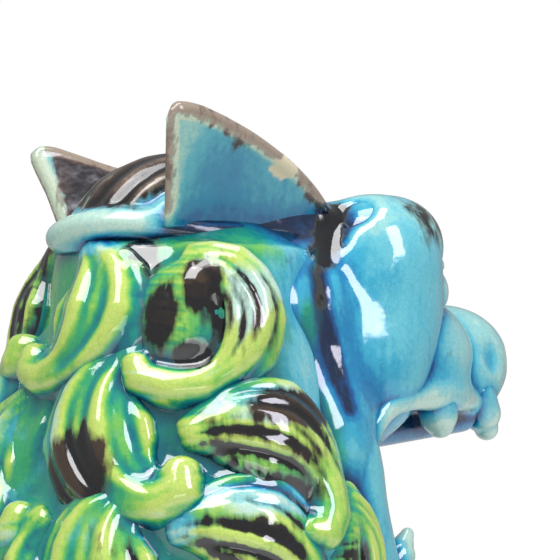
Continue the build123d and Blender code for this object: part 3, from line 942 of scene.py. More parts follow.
lower = Clay((-34, -58, 208), (34, -16, 242), 0.4)
for side in (-1, 1):
    lower.add(
        strand(path(side, (5, 26.5, -58), (9.5, 26.5, -53.5), (12.0, 26, -49.6)), [4.2, 3.2, 1.3])
    )
    lower.add(strand(path(side, (19, 20.5, -70), (20, 20.5, -64)), [2.8, 1.2]))
    lower.add(strand(path(side, (31, 12.5, -70), (33, 12.5, -62)), [3.0, 1.0]))
    for l in (3, 8):
        lower.add(strand(path(side, (36, l, -70), (36.5, l, -65.6)), [2.0, 1.6]), 0.5)
piece("lower_teeth_clay", lower, ["lower_teeth"], "tooth_glaze")

beard = Clay((-26, -64, 176), (26, -30, 216), 0.55)
for n, (x, y, z, long) in enumerate(
    ((-17, -44, 202, 13), (-6, -50, 199, 17), (6, -50, 199, 17), (17, -44, 202, 13))
):
    way = 1 if x > 0 else -1
    for k in (-1, 0, 1):
        lock = [
            (x + k * 2.6, y + abs(k), z + 3), (x + way * 1.5 + k * 2.3, y - 1.2, z - long * 0.45),
            (x + way * 0.6 + k * 1.5, y - 1.4, z - long * 0.85),
            (x - way * 2.4 + k * 0.6, y - 1.2, z - long),
        ]
        beard.add(strand(lock, [2.0, 2.3, 1.9, 1.5]), 0.9)
    beard.add(ball((x - way * 2.6, y - 2.0, z - long + 1.8), 2.7), 1.2)
piece("beard_locks", beard, ["beard_curls"], "dark_glaze")

# %% [markdown]
# ## Body
#
# None of this shows in a portrait of the head. The body is a usual seated guardian: a straight
# back, round haunches, one forepaw on a ball.

# %% Trunk
SEAT = 50.0
TRUNK = [
    (50, 0, 22, 33, 38), (80, 0, 22, 37, 42), (115, 0, 16, 35, 42), (150, 0, 6, 34, 40),
    (181, 0, 3, 32, 36),
]
for side, word in ((1, "left"), (-1, "right")):
    half = side_clay(side, 0, 44, (-44, 47), (72, 184), 1.2)
    half.add(tower(TRUNK))
    half.add(egg((side * 16, -26, 150), (16, 14, 22)), 10)
    half.add(egg((side * 24, 14, 140), (12, 22, 30)), 10)
    half.cut(strand([(0, 64, 60), (0, 62, 90), (0, 55, 130), (0, 42, 178)], 2.0), 5)
    for k in range(4):
        z = 92 + 15 * k
        half.cut(
            strand(
                [
                    (side * 38, 6 + k * -2, z), (side * 33, -20 + k * -1, z + 6),
                    (side * 18, -34, z + 9),
                ],
                1.0,
            ),
            3.5,
        )
    half.cut(block((side * -30, 0, 120), (30.15, 120, 120), 0.1), 0.6)
    half.cut(block((0, 0, 20), (120, 120, 30), 0.1))
    piece("trunk_half_" + word, half, ["trunk_" + word], "body_glaze")

# %% Legs and paws
def paw_clay(x, y, floor, long, low, high):
    clay = Clay(low, high, 0.6)
    front = y - long / 2
    clay.add(egg((x, y + 3, floor + 6), (12.2, long / 2 - 3, 9.5)))
    for n in range(4):
        dx = (n - 1.5) * 5.9
        tuck = abs(n - 1.5) * 1.3
        clay.add(
            strand(
                [
                    (x + dx * 0.8, front + 14, floor + 8), (x + dx, front + 7 + tuck, floor + 7.6),
                    (x + dx, front + 3.6 + tuck, floor + 4.4),
                ],
                [3.4, 3.9, 3.5],
            ),
            1.1,
        )
    clay.cut(block((x, y, floor - 20), (60, 60, 20), 0.1))
    return clay


def claw_clay(clay, x, y, floor, long):
    front = y - long / 2
    for n in range(4):
        dx, tuck = (n - 1.5) * 5.9, abs(n - 1.5) * 1.3
        clay.add(
            strand(
                [
                    (x + dx, front + 3.4 + tuck, floor + 5.2),
                    (x + dx, front + 0.2 + tuck, floor + 4.4),
                    (x + dx, front - 1.6 + tuck, floor + 1.6),
                ],
                [1.9, 1.6, 0.8],
            ),
            0.4,
        )


def tuft(clay, root, tip, wide, strands=4):
    """A flame of hair: strands that swell from the root and meet at its curled tip."""
    root, tip = np.array(root, float), np.array(tip, float)
    axis = (tip - root) / np.linalg.norm(tip - root)
    side = np.cross(axis, (1, 0, 0))
    side /= np.linalg.norm(side)
    length = np.linalg.norm(tip - root)
    for s in np.linspace(-1, 1, strands):
        line = [
            root + side * s * wide * 0.5,
            root + axis * length * 0.35 + side * (s * wide * 0.8 + 1.2),
            root + axis * length * 0.7 + side * (s * wide * 0.45 + 0.6), tip + side * -1.6,
        ]
        radii = np.interp(
            np.linspace(0, 1, 9), [0, 0.3, 0.8, 1],
            [wide / strands * 1.3, wide / strands * 1.4, 1.5, 0.8],
        )
        clay.add(strand(line_through(line, 9), list(radii)), 0.9)


ball_middle = np.array([-26.0, -57.0, SEAT + 17.4])
PERCH = ball_middle[2] + 15.0
for side, word in ((1, "left"), (-1, "right")):
    floor = SEAT if side == 1 else PERCH
    x, y = (24, -56) if side == 1 else (-26, -52)
    leg = side_clay(side, 6, 44, (-66, floor - 2), (6, 176), 0.9)
    bottom = [(floor + 8, side * 24, -49, 10.0, 10.5), (floor + 26, side * 24, -47, 9.6, 10.4)]
    leg.add(
        tower(
            bottom
            + [
                (128, side * 25.5, -37, 13, 16), (150, side * 24.5, -27, 14.5, 18),
                (170, side * 22, -20, 12, 14),
            ]
        )
    )
    leg.add(egg((side * 25, -31, 138), (13, 17, 24)), 8)
    leg.cut(strand([(side * 37, -22, 160), (side * 39, -30, 140), (side * 35, -38, 118)], 1.0), 4)
    for k in range(3):
        band = hoop((side * 24, -48.6, floor + 16 + k * 2.2), 1, (9.4, 0, 0), (0, 9.8, 0), 15)
        leg.add(strand(band, 1.1), 1.0)
    piece("foreleg_" + word, leg, ["front_leg_" + word], "body_glaze")
    paw = paw_clay(x, y, floor, 34, (x - 17, y - 24, floor - 2), (x + 17, y + 22, floor + 20))
    if side == -1:
        paw.cut(ball(ball_middle, 18.2), 0.5)
    piece("forepaw_" + word, paw, ["front_paw_" + word], "body_glaze")
    hind = paw_clay(
        side * 35, -6, SEAT, 40, (side * 35 - 17, -32, SEAT - 2), (side * 35 + 17, 18, SEAT + 20)
    )
    piece("hindpaw_" + word, hind, ["hind_paw_" + word], "body_glaze")
    thigh = side_clay(side, 14, 50, (-6, 47), (74, 122), 1.0)
    thigh.add(egg((side * 30, 34, 84), (15.6, 33, 33)))
    thigh.add(egg((side * 33, 16, 62), (12, 22, 12)), 8)
    swirl = [
        (side * 50, 34 + r * math.cos(a), 84 + r * math.sin(a))
        for a, r in zip(np.linspace(0.4, 9.6, 40), np.linspace(24, 3, 40))
    ]
    swirl = [
        (side * (45.6 - 0.0105 * ((p[1] - 34) ** 2 + (p[2] - 84) ** 2)), p[1], p[2]) for p in swirl
    ]
    thigh.cut(strand(swirl, 1.0), 1.8)
    thigh.cut(block((0, 0, 20), (120, 120, 30), 0.1))
    piece("thigh_" + word, thigh, ["haunch_" + word], "body_glaze")

claws = Clay((-46, -82, SEAT), (46, -60, PERCH + 12), 0.45)
claw_clay(claws, 24, -56, SEAT, 34)
claw_clay(claws, -26, -52, PERCH, 34)
piece("forepaw_claws", claws, ["front_claws"], "tooth_glaze")
claws = Clay((-54, -34, SEAT), (54, -16, SEAT + 12), 0.45)
for side in (-1, 1):
    claw_clay(claws, side * 35, -6, SEAT, 40)
piece("hindpaw_claws", claws, ["hind_claws"], "tooth_glaze")

flames = Clay((-46, -34, 74), (46, 14, 134), 0.6)
for side in (-1, 1):
    for k in range(3):
        tuft(
            flames, (side * 30, -27 + 3 * k, 120 - 12 * k),
            (side * (39 - k), 2 + 2 * k, 118 - 13 * k), 6.2,
        )
piece("elbow_flames", flames, ["elbow_tufts"], "dark_glaze")

# %% Ball and ribbon
globe = Clay(ball_middle - 21, ball_middle + 21, 0.5)
globe.add(ball(ball_middle, 17.6))
LINE_RADIUS, LINE_WIDTH = 17.9, 0.55
for turn in range(6):
    a = turn * math.pi / 6
    loop = hoop(ball_middle, LINE_RADIUS, (math.cos(a), math.sin(a), 0), (0, 0, 1), 41)
    globe.cut(strand(loop, LINE_WIDTH), 0.9)
for rise in (-0.8, -0.4, 0, 0.4, 0.8):
    level, wide = ball_middle + (0, 0, LINE_RADIUS * math.sin(rise)), math.cos(rise)
    globe.cut(strand(hoop(level, LINE_RADIUS, (wide, 0, 0), (0, wide, 0), 41), LINE_WIDTH), 0.9)
globe.cut(block(ball_middle - (0, 0, 47.4), (60, 60, 30), 0.1))
piece("brocade_ball", globe, ["ball"], "ball_glaze")
ribbon = Clay(ball_middle - 24, ball_middle + 24, 0.5)
for turn in (0.61, 2.53):
    for width in (-1.2, 0, 1.2):
        middle = ball_middle + width * np.array([math.cos(turn), math.sin(turn), 0])
        loop = hoop(middle, 18.3, (-math.sin(turn), math.cos(turn), 0), (0, 0, 1), 49)
        ribbon.add(strand(loop, 1.1), 0.8)
ribbon.cut(block(ball_middle - (0, 0, 47.4), (60, 60, 30), 0.1))
ribbon.cut(block((-26, -52, PERCH + 14), (22, 22, 17.4), 3))
piece("ball_ribbon_band", ribbon, ["ball_ribbon"], "dark_glaze")

# %% Collar and bell
band = Clay((-44, -46, 158), (44, 54, 180), 0.7)
ring = [(37 * math.sin(a), 4 - 41 * math.cos(a), 169.5) for a in np.linspace(0, 2 * math.pi, 81)]
band.add(strand(ring, 3.4))
for dz in (-3.6, 3.6):
    band.add(strand([(p[0] * 1.01, p[1], p[2] + dz) for p in ring], 1.5), 1.0)
for n in range(30):
    p = ring[(n * 80) // 30]
    band.add(ball((p[0] * 1.05, 4 + (p[1] - 4) * 1.05, p[2]), 2.5), 0.8)
piece("beaded_collar", band, ["collar"], "dark_glaze")
chime = Clay((-12, -60, 144), (12, -34, 172), 0.45)
chime.add(ball((0, -47, 157), 8.2))
chime.add(strand(hoop((0, -47, 157), 8.2, (1, 0, 0), (0, 1, 0), 25), 1.1), 0.8)
chime.add(strand([(0, -45, 165), (0, -44, 168)], 2.2), 1.0)
chime.cut(block((0, -47, 149), (1.1, 14, 4.6), 0.5), 0.6)
piece("collar_bell", chime, ["bell"], "ball_glaze")

# %% Tail
plume = Clay((-26, 46, 48), (26, 84, 186), 0.8)
plume.add(strand([(0, 64, 54), (0, 70, 72), (0, 70, 100)], [9, 9, 9]))
for s in np.linspace(-1, 1, 7):
    hair = [
        (s * 3, 70, 66), (s * 13, 71 - abs(s) * 2, 96), (s * 17, 67 - abs(s) * 2, 126),
        (s * 11, 58, 152), (s * 2, 51, 176),
    ]
    plume.add(
        strand(
            line_through(hair, 14),
            list(np.interp(np.linspace(0, 1, 14), [0, 0.4, 0.8, 1], [4.4, 4.8, 3.6, 1.8])),
        ),
        1.1,
    )
plume.cut(block((0, 0, 20), (120, 120, 30), 0.1))
piece("tail_plume", plume, ["tail"], "body_glaze")
hooks = Clay((-32, 56, 70), (32, 86, 150), 0.55)
for side in (-1, 1):
    for z, x in ((84, 11), (108, 16), (132, 18)):
        for k in range(3):
            hair = [
                (side * (x - 7 + k), 72, z - 8 + k), (side * (x + 2 + k), 74, z - 4 + 1.6 * k),
                (side * (x + 5), 74, z + 4), (side * (x + 1), 74.5, z + 6),
            ]
            hooks.add(strand(hair, [2.2, 2.3, 2.0, 1.8]), 0.9)
        hooks.add(ball((side * (x + 1), 75, z + 5), 3.4), 1.2)
piece("tail_hooks", hooks, ["tail_curls"], "dark_glaze")

# %% Plinth
# each opening is a quatrefoil: four round holes whose middles stand off its own
LOBE, LOBES = 4.6, ((5.2, 0), (-5.2, 0), (0, 5.2), (0, -5.2))
tray = Clay((-55, -83, -1), (55, 83, 45), 1.2)
tray.add(block((0, 0, 4.5), (51.6, 79.6, 4.5), 2.0))
tray.add(block((0, 0, 24), (46, 74, 21), 3.0), 2.0)
tray.add(block((0, 0, 12.5), (48.5, 76.5, 2.2), 1.6), 1.2)
tray.add(block((0, 0, 38.6), (48.5, 76.5, 2.4), 1.6), 1.2)
tray.cut(block((0, 0, 20), (40, 68, 40), 3.0), 0.6)
for side in (-1, 1):
    for y in (-44, 0, 44):
        for ly, lz in LOBES:
            tray.cut(
                strand([(side * 36, y + ly, 25.5 + lz), (side * 52, y + ly, 25.5 + lz)], LOBE), 0.8
            )
    for x in (-22, 22):
        for lx, lz in LOBES:
            tray.cut(
                strand([(x + lx, side * 62, 25.5 + lz), (x + lx, side * 80, 25.5 + lz)], LOBE), 0.8
            )
tray.cut(egg((0, 0, 0), (30, 140, 4.2)))
tray.cut(egg((0, 0, 0), (110, 54, 4.2)))
piece("plinth_walls", tray, ["plinth_box"], "plinth_glaze")
top = Clay((-55, -83, 40), (55, 83, 52), 1.1)
top.add(block((0, 0, 46), (51.6, 79.6, 4.0), 2.4))
top.cut(strand([(0, 20, 38), (0, 20, 54)], 1.6))
piece("plinth_top", top, ["plinth_slab"], "plinth_glaze")

# %% [markdown]
# ## Pressing and laying the curls
#
# The moulds are skinned once. A Geometry Nodes tree lays the right one at every place, turned,
# sized and bent to the neck.

# %% Mould meshes
moulds = bpy.data.collections.new("curl_moulds")
for kind in KINDS:
    clay = MOULDS[kind]
    points, quads = skin(clay, 2)
    raised = soften(np.clip(0.5 - clay.field / CURL_STEP / 2, 0, 1), 0.75 / CURL_STEP)
    store = clay.field
    clay.field = raised
    fine = clay.sample(points)
    clay.field = store
    # how far across the bundle each point is, and how far along it
    gap = np.hypot(
        points[:, None, 0] - clay.line[None, :, 0], points[:, None, 1] - clay.line[None, :, 1]
    )
    nearest = np.argmin(gap, 1)
    along = np.gradient(clay.line, axis=0)
    along /= np.linalg.norm(along, axis=1)[:, None]
    away = points[:, :2] - clay.line[nearest]
    comb = (along[nearest, 0] * away[:, 1] - along[nearest, 1] * away[:, 0]) / clay.half[nearest]
    along_it = (nearest + (away * along[nearest]).sum(1) / 2.2) / (len(clay.line) - 1)
    points[:, 2] -= points[:, 0] ** 2 / (2 * CURL_BEND)
    mesh = make_mesh("mould_" + kind, points, quads)
    put(mesh, "fine", fine)
    put(mesh, "comb", comb)
    put(mesh, "along", along_it)
    moulds.objects.link(bpy.data.objects.new("mould_" + kind, mesh))
    print("mould", kind, len(points), "points")


# %% Curl laying tree
def node(tree, kind, *inputs, **settings):
    """Adds a node and sets what is named. Inputs come in order, or as pairs (input, value)."""
    made = tree.nodes.new(kind)
    for key, value in settings.items():
        setattr(made, key, value)
    for place, value in enumerate(inputs):
        if isinstance(value, tuple):
            place, value = value
        if isinstance(value, bpy.types.NodeSocket):
            tree.links.new(value, made.inputs[place])
        else:
            made.inputs[place].default_value = value
    return made


def laying_tree(material):
    tree = bpy.data.node_groups.new("lay curls", "GeometryNodeTree")
    tree.interface.new_socket("Geometry", in_out="INPUT", socket_type="NodeSocketGeometry")
    tree.interface.new_socket("Moulds", in_out="INPUT", socket_type="NodeSocketCollection")
    tree.interface.new_socket("Geometry", in_out="OUTPUT", socket_type="NodeSocketGeometry")
    start = node(tree, "NodeGroupInput")
    shelf = node(
        tree,
        "GeometryNodeCollectionInfo",
        ("Collection", start.outputs["Moulds"]),
        ("Separate Children", True),
        ("Reset Children", True),
    )
    # each point says which mould it gets, how it is turned and how large it is
    kind, turn, size = (
        node(tree, "GeometryNodeInputNamedAttribute", ("Name", name), data_type=sort).outputs[0]
        for name, sort in (("mould", "INT"), ("turn", "FLOAT_VECTOR"), ("size", "FLOAT_VECTOR"))
    )
    laid = node(
        tree,
        "GeometryNodeInstanceOnPoints",
        ("Points", start.outputs["Geometry"]),
        ("Instance", shelf.outputs[0]),
        ("Pick Instance", True),
        ("Instance Index", kind),
        ("Rotation", node(tree, "FunctionNodeEulerToRotation", turn).outputs[0]),
        ("Scale", size),
    )
    real = node(tree, "GeometryNodeRealizeInstances", laid.outputs[0])
    paint = node(
        tree, "GeometryNodeSetMaterial", ("Geometry", real.outputs[0]), ("Material", material)
    )
    node(tree, "NodeGroupOutput", paint.outputs[0])
    return tree


# %% [markdown]
# ## Glaze
#
# One lead glaze covers everything, and every point carries what decides its colour there: `pool`
# (how deep in a hollow it is, so how thick the glaze lies, with painted shade added along some
# creases, under the upper jaw and round the curls), `splash` (brown-black manganese glaze), `green`
# (copper in the lead glaze turns green where it is strong) and `bare` (clay that the glaze has
# left).

# %% Colours
def srgb(code, alpha=1.0):
    parts = [int(code[i : i + 2], 16) / 255 for i in (1, 3, 5)]
    return [c / 12.92 if c <= 0.04045 else ((c + 0.055) / 1.055) ** 2.4 for c in parts] + [alpha]


def fill_ramp(ramp, stops):
    """Puts (place, colour) stops on a colour ramp."""
    ramp.interpolation = "EASE"
    while len(ramp.elements) < len(stops):
        ramp.elements.new(0.5)
    for element, (place, code) in zip(ramp.elements, stops):
        element.position = place
        element.color = srgb(code)


def fresh(name):
    material = bpy.data.materials.new(name)
    material.use_nodes = True
    tree = material.node_tree
    tree.nodes.clear()
    return material, tree


BLUE = [
    (0.0, "#B9DACB"), (0.14, "#8FCBC9"), (0.32, "#62BDCB"), (0.48, "#36A5C2"), (0.66, "#147EAE"),
    (0.84, "#0B4A80"), (1.0, "#061F40"),
]
GREEN = [
    (0.0, "#BCD468"), (0.14, "#97C855"), (0.28, "#68B657"), (0.42, "#31A168"), (0.58, "#0F877A"),
    (0.78, "#0A6A78"), (1.0, "#07465C"),
]
DARK = [(0.0, "#3E2E20"), (0.14, "#241A13"), (0.30, "#110D0B"), (1.0, "#070709")]
RIM = [(0.0, "#9A8B7A"), (0.10, "#6A5648"), (0.22, "#3A2C25"), (0.40, "#17110F"), (1.0, "#070709")]
SLATE = [
    (0.0, "#BFCDB4"), (0.16, "#8CBFB4"), (0.34, "#45A2AE"), (0.54, "#1C80A0"), (0.76, "#0D5F92"),
    (1.0, "#083C6C"),
]
AMBER = [(0.0, "#F0D68A"), (0.3, "#D89A34"), (0.6, "#9A5A14"), (1.0, "#3A1D08")]


MATH, NOISE, MIX = "ShaderNodeMath", "ShaderNodeTexNoise", "ShaderNodeMix"


def glaze(
    name, cool=BLUE, warm=GREEN, brown=DARK, fringe="#4E4A1E", streak=0.35, gloss=0.6, rough=0.09
):
    """Fired lead glaze over white slip: dipped, run and finely crackled."""
    material, tree = fresh(name)
    where = node(tree, "ShaderNodeTexCoord").outputs["Object"]
    pool, splash, copper, bare = (
        node(tree, "ShaderNodeAttribute", attribute_name=key).outputs["Fac"]
        for key in ("pool", "splash", "green", "bare")
    )

    def uneven(vector, across, detail):
        """Noise about 0, with lumps so many millimetres across."""
        lumps = node(tree, NOISE, ("Vector", vector), ("Scale", 1000 / across), ("Detail", detail))
        return lumps, node(tree, MATH, lumps.outputs["Fac"], 0.5, operation="SUBTRACT").outputs[0]

    # slow unevenness of the dipped glaze, and fine mottling
    cloud, cloudy = uneven(where, 9, 3)
    speck = uneven(where, 1.2, 2)[1]
    # the glaze flowed down in streaks under a millimetre wide and several long
    squeeze = node(tree, "ShaderNodeMapping", ("Vector", where), ("Scale", [1.0, 1.0, 0.16]))
    trickle = uneven(squeeze.outputs[0], 1.6, 3)[1]
    depth = node(tree, MATH, cloudy, 0.34, pool, operation="MULTIPLY_ADD").outputs[0]
    depth = node(tree, MATH, trickle, 0.24, depth, operation="MULTIPLY_ADD").outputs[0]
    depth = node(
        tree, MATH, speck, 0.16, depth, operation="MULTIPLY_ADD", use_clamp=True
    ).outputs[0]
    shades = []
    for stops in (cool, warm, brown):
        shade = node(tree, "ShaderNodeValToRGB", depth)
        fill_ramp(shade.color_ramp, stops)
        shades.append(shade.outputs[0])
    blue, green, dark = shades

    def sharpened(value, contrast):
        """Draws a soft 0 to 1 edge together about its middle."""
        shifted = node(tree, MATH, value, 0.5, operation="SUBTRACT").outputs[0]
        return node(
            tree, MATH, shifted, contrast, 0.5, operation="MULTIPLY_ADD", use_clamp=True
        ).outputs[0]

    # copper-green and turquoise meet in ragged edges
    edge = sharpened(
        node(tree, MATH, cloudy, 1.3, copper, operation="MULTIPLY_ADD").outputs[0], 2.4
    )
    body = node(tree, MIX, edge, (6, blue), (7, green), data_type="RGBA").outputs[2]
    # manganese brown run into the glaze
    run = node(tree, MATH, uneven(where, 5, 4)[1], 1.1, splash, operation="MULTIPLY_ADD").outputs[0]
    run = sharpened(
        node(tree, MATH, trickle, streak * 3, run, operation="MULTIPLY_ADD").outputs[0], 2.3
    )
    # where it thins out it is see-through and olive, and it is black only where it lies thick
    thick = node(tree, MATH, run, 2.2, -1.0, operation="MULTIPLY_ADD", use_clamp=True).outputs[0]
    brown_coat = node(tree, MIX, thick, (6, srgb(fringe)), (7, dark), data_type="RGBA").outputs[2]
    colour = node(tree, MIX, run, (6, body), (7, brown_coat), data_type="RGBA").outputs[2]
    # crackle of about 1 mm
    cells = node(
        tree, "ShaderNodeTexVoronoi", ("Vector", where), ("Scale", 1000 / 1.1),
        feature="DISTANCE_TO_EDGE",
    )
    inside = node(
        tree, MATH, cells.outputs["Distance"], 14.0, operation="MULTIPLY", use_clamp=True
    ).outputs[0]
    crack = node(tree, MATH, 1.0, inside, operation="SUBTRACT").outputs[0]
    crack = node(tree, MATH, crack, 0.16, operation="MULTIPLY").outputs[0]
    colour = node(tree, MIX, crack, (6, colour), (7, srgb("#0B3F5A")), data_type="RGBA").outputs[2]
    # bare clay where the glaze is chipped or stops short
    chipped = node(tree, MATH, bare, 1.0, operation="MULTIPLY", use_clamp=True).outputs[0]
    colour = node(
        tree, MIX, chipped, (6, colour), (7, srgb("#CDC5A4")), data_type="RGBA"
    ).outputs[2]
    dull = node(tree, MATH, bare, 0.6, rough, operation="MULTIPLY_ADD", use_clamp=True).outputs[0]
    bump = node(
        tree, "ShaderNodeBump", ("Height", cloud.outputs["Fac"]), ("Strength", 0.18),
        ("Distance", 0.0012),
    )
    shader = node(
        tree,
        "ShaderNodeBsdfPrincipled",
        ("Base Color", colour),
        ("Normal", bump.outputs[0]),
        ("Roughness", dull),
        ("IOR", 1.62),
        ("Coat Weight", gloss),
        ("Coat Roughness", 0.03),
        ("Coat IOR", 1.6),
    )
    node(tree, "ShaderNodeOutputMaterial", ("Surface", shader.outputs[0]))
    return material


GLAZES = {
    "body_glaze": glaze("turquoise lead glaze, dipped"),
    "mane_glaze": glaze("green and turquoise lead glaze, run over sprigs"),
    "crest_glaze": glaze(
        "brown-streaked turquoise glaze, brushed", brown=RIM, fringe="#4A3E34", gloss=0.25,
        rough=0.2,
    ),
    "ear_glaze": glaze(
        "turquoise glaze on slab, brown rim", cool=SLATE, brown=RIM, fringe="#4A3A2E", streak=0.7,
        gloss=0.1, rough=0.14,
    ),
    "dark_glaze": glaze("manganese brown over turquoise, run"),
    "jaw_glaze": glaze("green-turquoise glaze, dipped"),
    "eye_glaze": glaze("pale glaze with brown pupil", streak=0.1),
    "tooth_glaze": glaze("thin turquoise glaze over slip"),
    "ball_glaze": glaze("amber glaze, dipped", warm=AMBER),
    "plinth_glaze": glaze("turquoise glaze, run down the plinth"),
}

# %% Lay the curls
lay = laying_tree(GLAZES["mane_glaze"])
for row, places in ROWS.items():
    spots, turns, sizes, kinds = [], [], [], []
    for place in places:
        spot, across, up, out = curl_frame(place)
        turn = Matrix([across, up, out]).transposed().to_euler()
        spots.append(spot * MM)
        turns.append(turn)
        sizes.append((place[3], place[4], 1.0))
        kinds.append(KINDS.index(place[2]))
    seeds = bpy.data.meshes.new(row + "_places")
    seeds.from_pydata([tuple(s) for s in spots], [], [])
    seeds.attributes.new("mould", "INT", "POINT").data.foreach_set(
        "value", np.array(kinds, np.int32)
    )
    for name, values in (("turn", turns), ("size", sizes)):
        attribute = seeds.attributes.new(name, "FLOAT_VECTOR", "POINT")
        attribute.data.foreach_set("vector", np.array(values, np.float32).ravel())
    holder = bpy.data.objects.new(row + "_places", seeds)
    bpy.context.scene.collection.objects.link(holder)
    modifier = holder.modifiers.new("lay curls", "NODES")
    modifier.node_group = lay
    for item in lay.interface.items_tree:
        if item.name == "Moulds":
            modifier[item.identifier] = moulds
    bpy.context.view_layer.update()
    made = bpy.data.meshes.new_from_object(
        holder.evaluated_get(bpy.context.evaluated_depsgraph_get())
    )
    bpy.data.objects.remove(holder)
    made.name = row
    obj = bpy.data.objects.new(row.replace("mane_curls", "mane_locks"), made)
    bpy.context.scene.collection.objects.link(obj)
    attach(obj, "root")
    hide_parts(row)
    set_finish(obj, "mane_glaze")
    PIECES[obj.name] = {"object": obj, "clay": None, "places": places}
    print(obj.name, len(made.vertices), "points", [a.name for a in made.attributes])

# %% Hollows
def grid_shape(clay):
    """A finished block as a shape that can go into another block."""
    high = clay.low + clay.step * (np.array(clay.field.shape) - 1)

    def distance(x, y, z):
        spots = np.stack([v.ravel() for v in np.broadcast_arrays(x, y, z)], 1)
        return clay.sample(spots).reshape(np.broadcast(x, y, z).shape)

    return (list(clay.low), list(high)), distance


# One grid of the whole dog, filled with clay wherever any piece is.
CELL = 1.1
WHOLE = (-60, -90, -6), (60, 96, 330)
whole = Clay(*WHOLE, CELL)
solid = np.zeros(whole.field.shape, np.float32)
for name, made in PIECES.items():
    clay = made["clay"]
    if clay is not None:
        shapes = [grid_shape(clay)]
    else:
        shapes = [curl_shape(place) for place in made["places"]]
    for (low, high), distance in shapes:
        cut = whole.window(low, high, -0.01)
        d = distance(*whole.points(cut))
        solid[cut] = np.maximum(solid[cut], np.clip(0.5 - d / CELL, 0, 1))
close_clay, wide_clay = (Clay(*WHOLE, CELL) for _ in range(2))
close_clay.field = soften(solid, 1.3 / CELL)
wide_clay.field = soften(solid, 3.4 / CELL)
print("clay volume, ml", round(float(solid.sum()) * CELL**3 / 1000))


# %% [markdown]
# Where the brown and green glaze was brushed and ran, and where creases and joins are darkened,
# partly as pooled glaze and partly as painted shade. Each patch is a line with a reach; the patches
# are soft and the material's own noise makes their edges ragged.

# %% Glaze patches
def near(points, line, reach):
    """1 on a line through points, falling to 0 at its reach."""
    line = np.array(line, float)
    best = np.full(len(points), 1e9)
    for p, q in zip(line, line[1:]):
        v = q - p
        t = np.clip(((points - p) @ v) / max(v @ v, 1e-6), 0, 1)
        best = np.minimum(best, np.linalg.norm(points - p - t[:, None] * v, axis=1))
    return np.clip(1 - best / reach, 0, 1)


# each patch: (line, reach, strength)
SPLASHES, CREASE_POOL_AND_SHADE, GREENS = [], [], []
for side in (-1, 1):
    line = GROOVES[side]
    SPLASHES += [
        (path(side, (17, 24, 11), (22, 20, 10), (26, 14, 6)), 8, 1.0),
        ([head(2, side * 17, 12), *line[:3]], 4.6, 1.4),
        (line[2:5], 2.0, 0.8),
        (line[4:7], 1.5, 0.5),
        (path(side, (-42, 15, 13), (-42, 17, 6), (-41, 19, -1)), 5.5, 1.3),
    ]
    # painted shade together with pooled glaze: darker along the cheek groove, the ear root, the
    # back of the upper lip and the jaw groove
    CREASE_POOL_AND_SHADE += [
        (line, 9.0, 0.34), (line[3:], 3.4, 0.45),
        (path(side, (-39, 21, 8), (-20, 21, 8), (2, 19, 9)), 6.0, 0.5),
        (
            path(
                side, (22, 22, -17.5), (14, 25.5, -17.5), (6, 28, -18.5), (0, 30, -24),
                (-4, 31, -31),
            ),
            5.0, 0.15,
        ),
        (path(side, (-7, 33, -38), (-5, 33, -52), (-3, 31, -70)), 5.0, 0.35),
    ]
    GREENS += [
        (skin_line(skull, side, [(-12.6, -8), (-14.0, -15), (-12.0, -26), (-10, -38)]), 5, 1.0)
    ]

# brown on the curls: (row, curl) to [(x, y, half width, half height, strength, combed), ...], in
# the curl's own millimetres; a combed mark keeps to the grooves
CURL_BRUSH = {
    ("mane_curls_row_1", 3): [
        (-1, 8, 4, 6, 1.3, 0), (6, 4, 8, 9, 1.2, 1), (-7, 1, 4, 8, 1.0, 0), (-1, -5, 4, 3, 1.3, 0)
    ],
    ("mane_curls_row_1", 2): [(-8, 2, 4, 9, 0.7, 1)],
    ("mane_curls_row_1", 1): [(0, 0, 9, 12, 1.0, 1)],
    ("mane_curls_row_2", 3): [(-8, -6, 7.5, 7.0, 1.25, 0), (-7, -1, 6, 5, 0.8, 1)],
    ("mane_curls_row_2", 4): [
        (-1, 3, 15, 10, 1.3, 1), (4, 9, 10, 4, 1.2, 0), (0, -5, 9, 3, 1.1, 0)
    ],
    ("mane_curls_row_2", 2): [(-7, 3, 5, 9, 0.6, 1)],
    ("mane_curls_row_3", 6): [(0, 2, 13, 9, 1.2, 1)],
    ("mane_curls_row_3", 5): [(0, 2, 8, 9, 0.6, 1)],
    ("mane_curls_row_3", 4): [(-6, 0, 6, 9, 0.7, 1)],
}

# where turquoise ran over the green: (row, curl) to [(x, y, half width, half height), ...]
CURL_BLUE = {
    ("mane_curls_row_1", 3): [(7, 7, 6, 8)],
    ("mane_curls_row_1", 2): [(1, 14, 8, 3)],
    ("mane_curls_row_2", 3): [(5, 9, 3, 5)],
    ("mane_curls_row_2", 4): [(2, 10, 11, 4)],
    ("mane_curls_row_3", 5): [(5, 8, 5, 6)],
    ("mane_curls_row_3", 6): [(2, 10, 11, 4)],
}


def normals_of(mesh):
    flat = np.empty(len(mesh.vertices) * 3, np.float32)
    mesh.vertices.foreach_get("normal", flat)
    return flat.reshape(-1, 3)


def gathered(points, patches):
    """The strongest of the patches at each point."""
    best = np.zeros(len(points))
    for line, reach, strength in patches:
        best = np.maximum(best, strength * near(points, line, reach))
    return best


# %% [markdown]
# A painter is a function for one kind of piece. It gets the piece's coat, which holds `pool`,
# `splash`, `green` and `bare` for every point, and changes what is special to that piece. `close`
# and `wide` say how much clay is round a point, within about 1.3 and 3.4 mm.


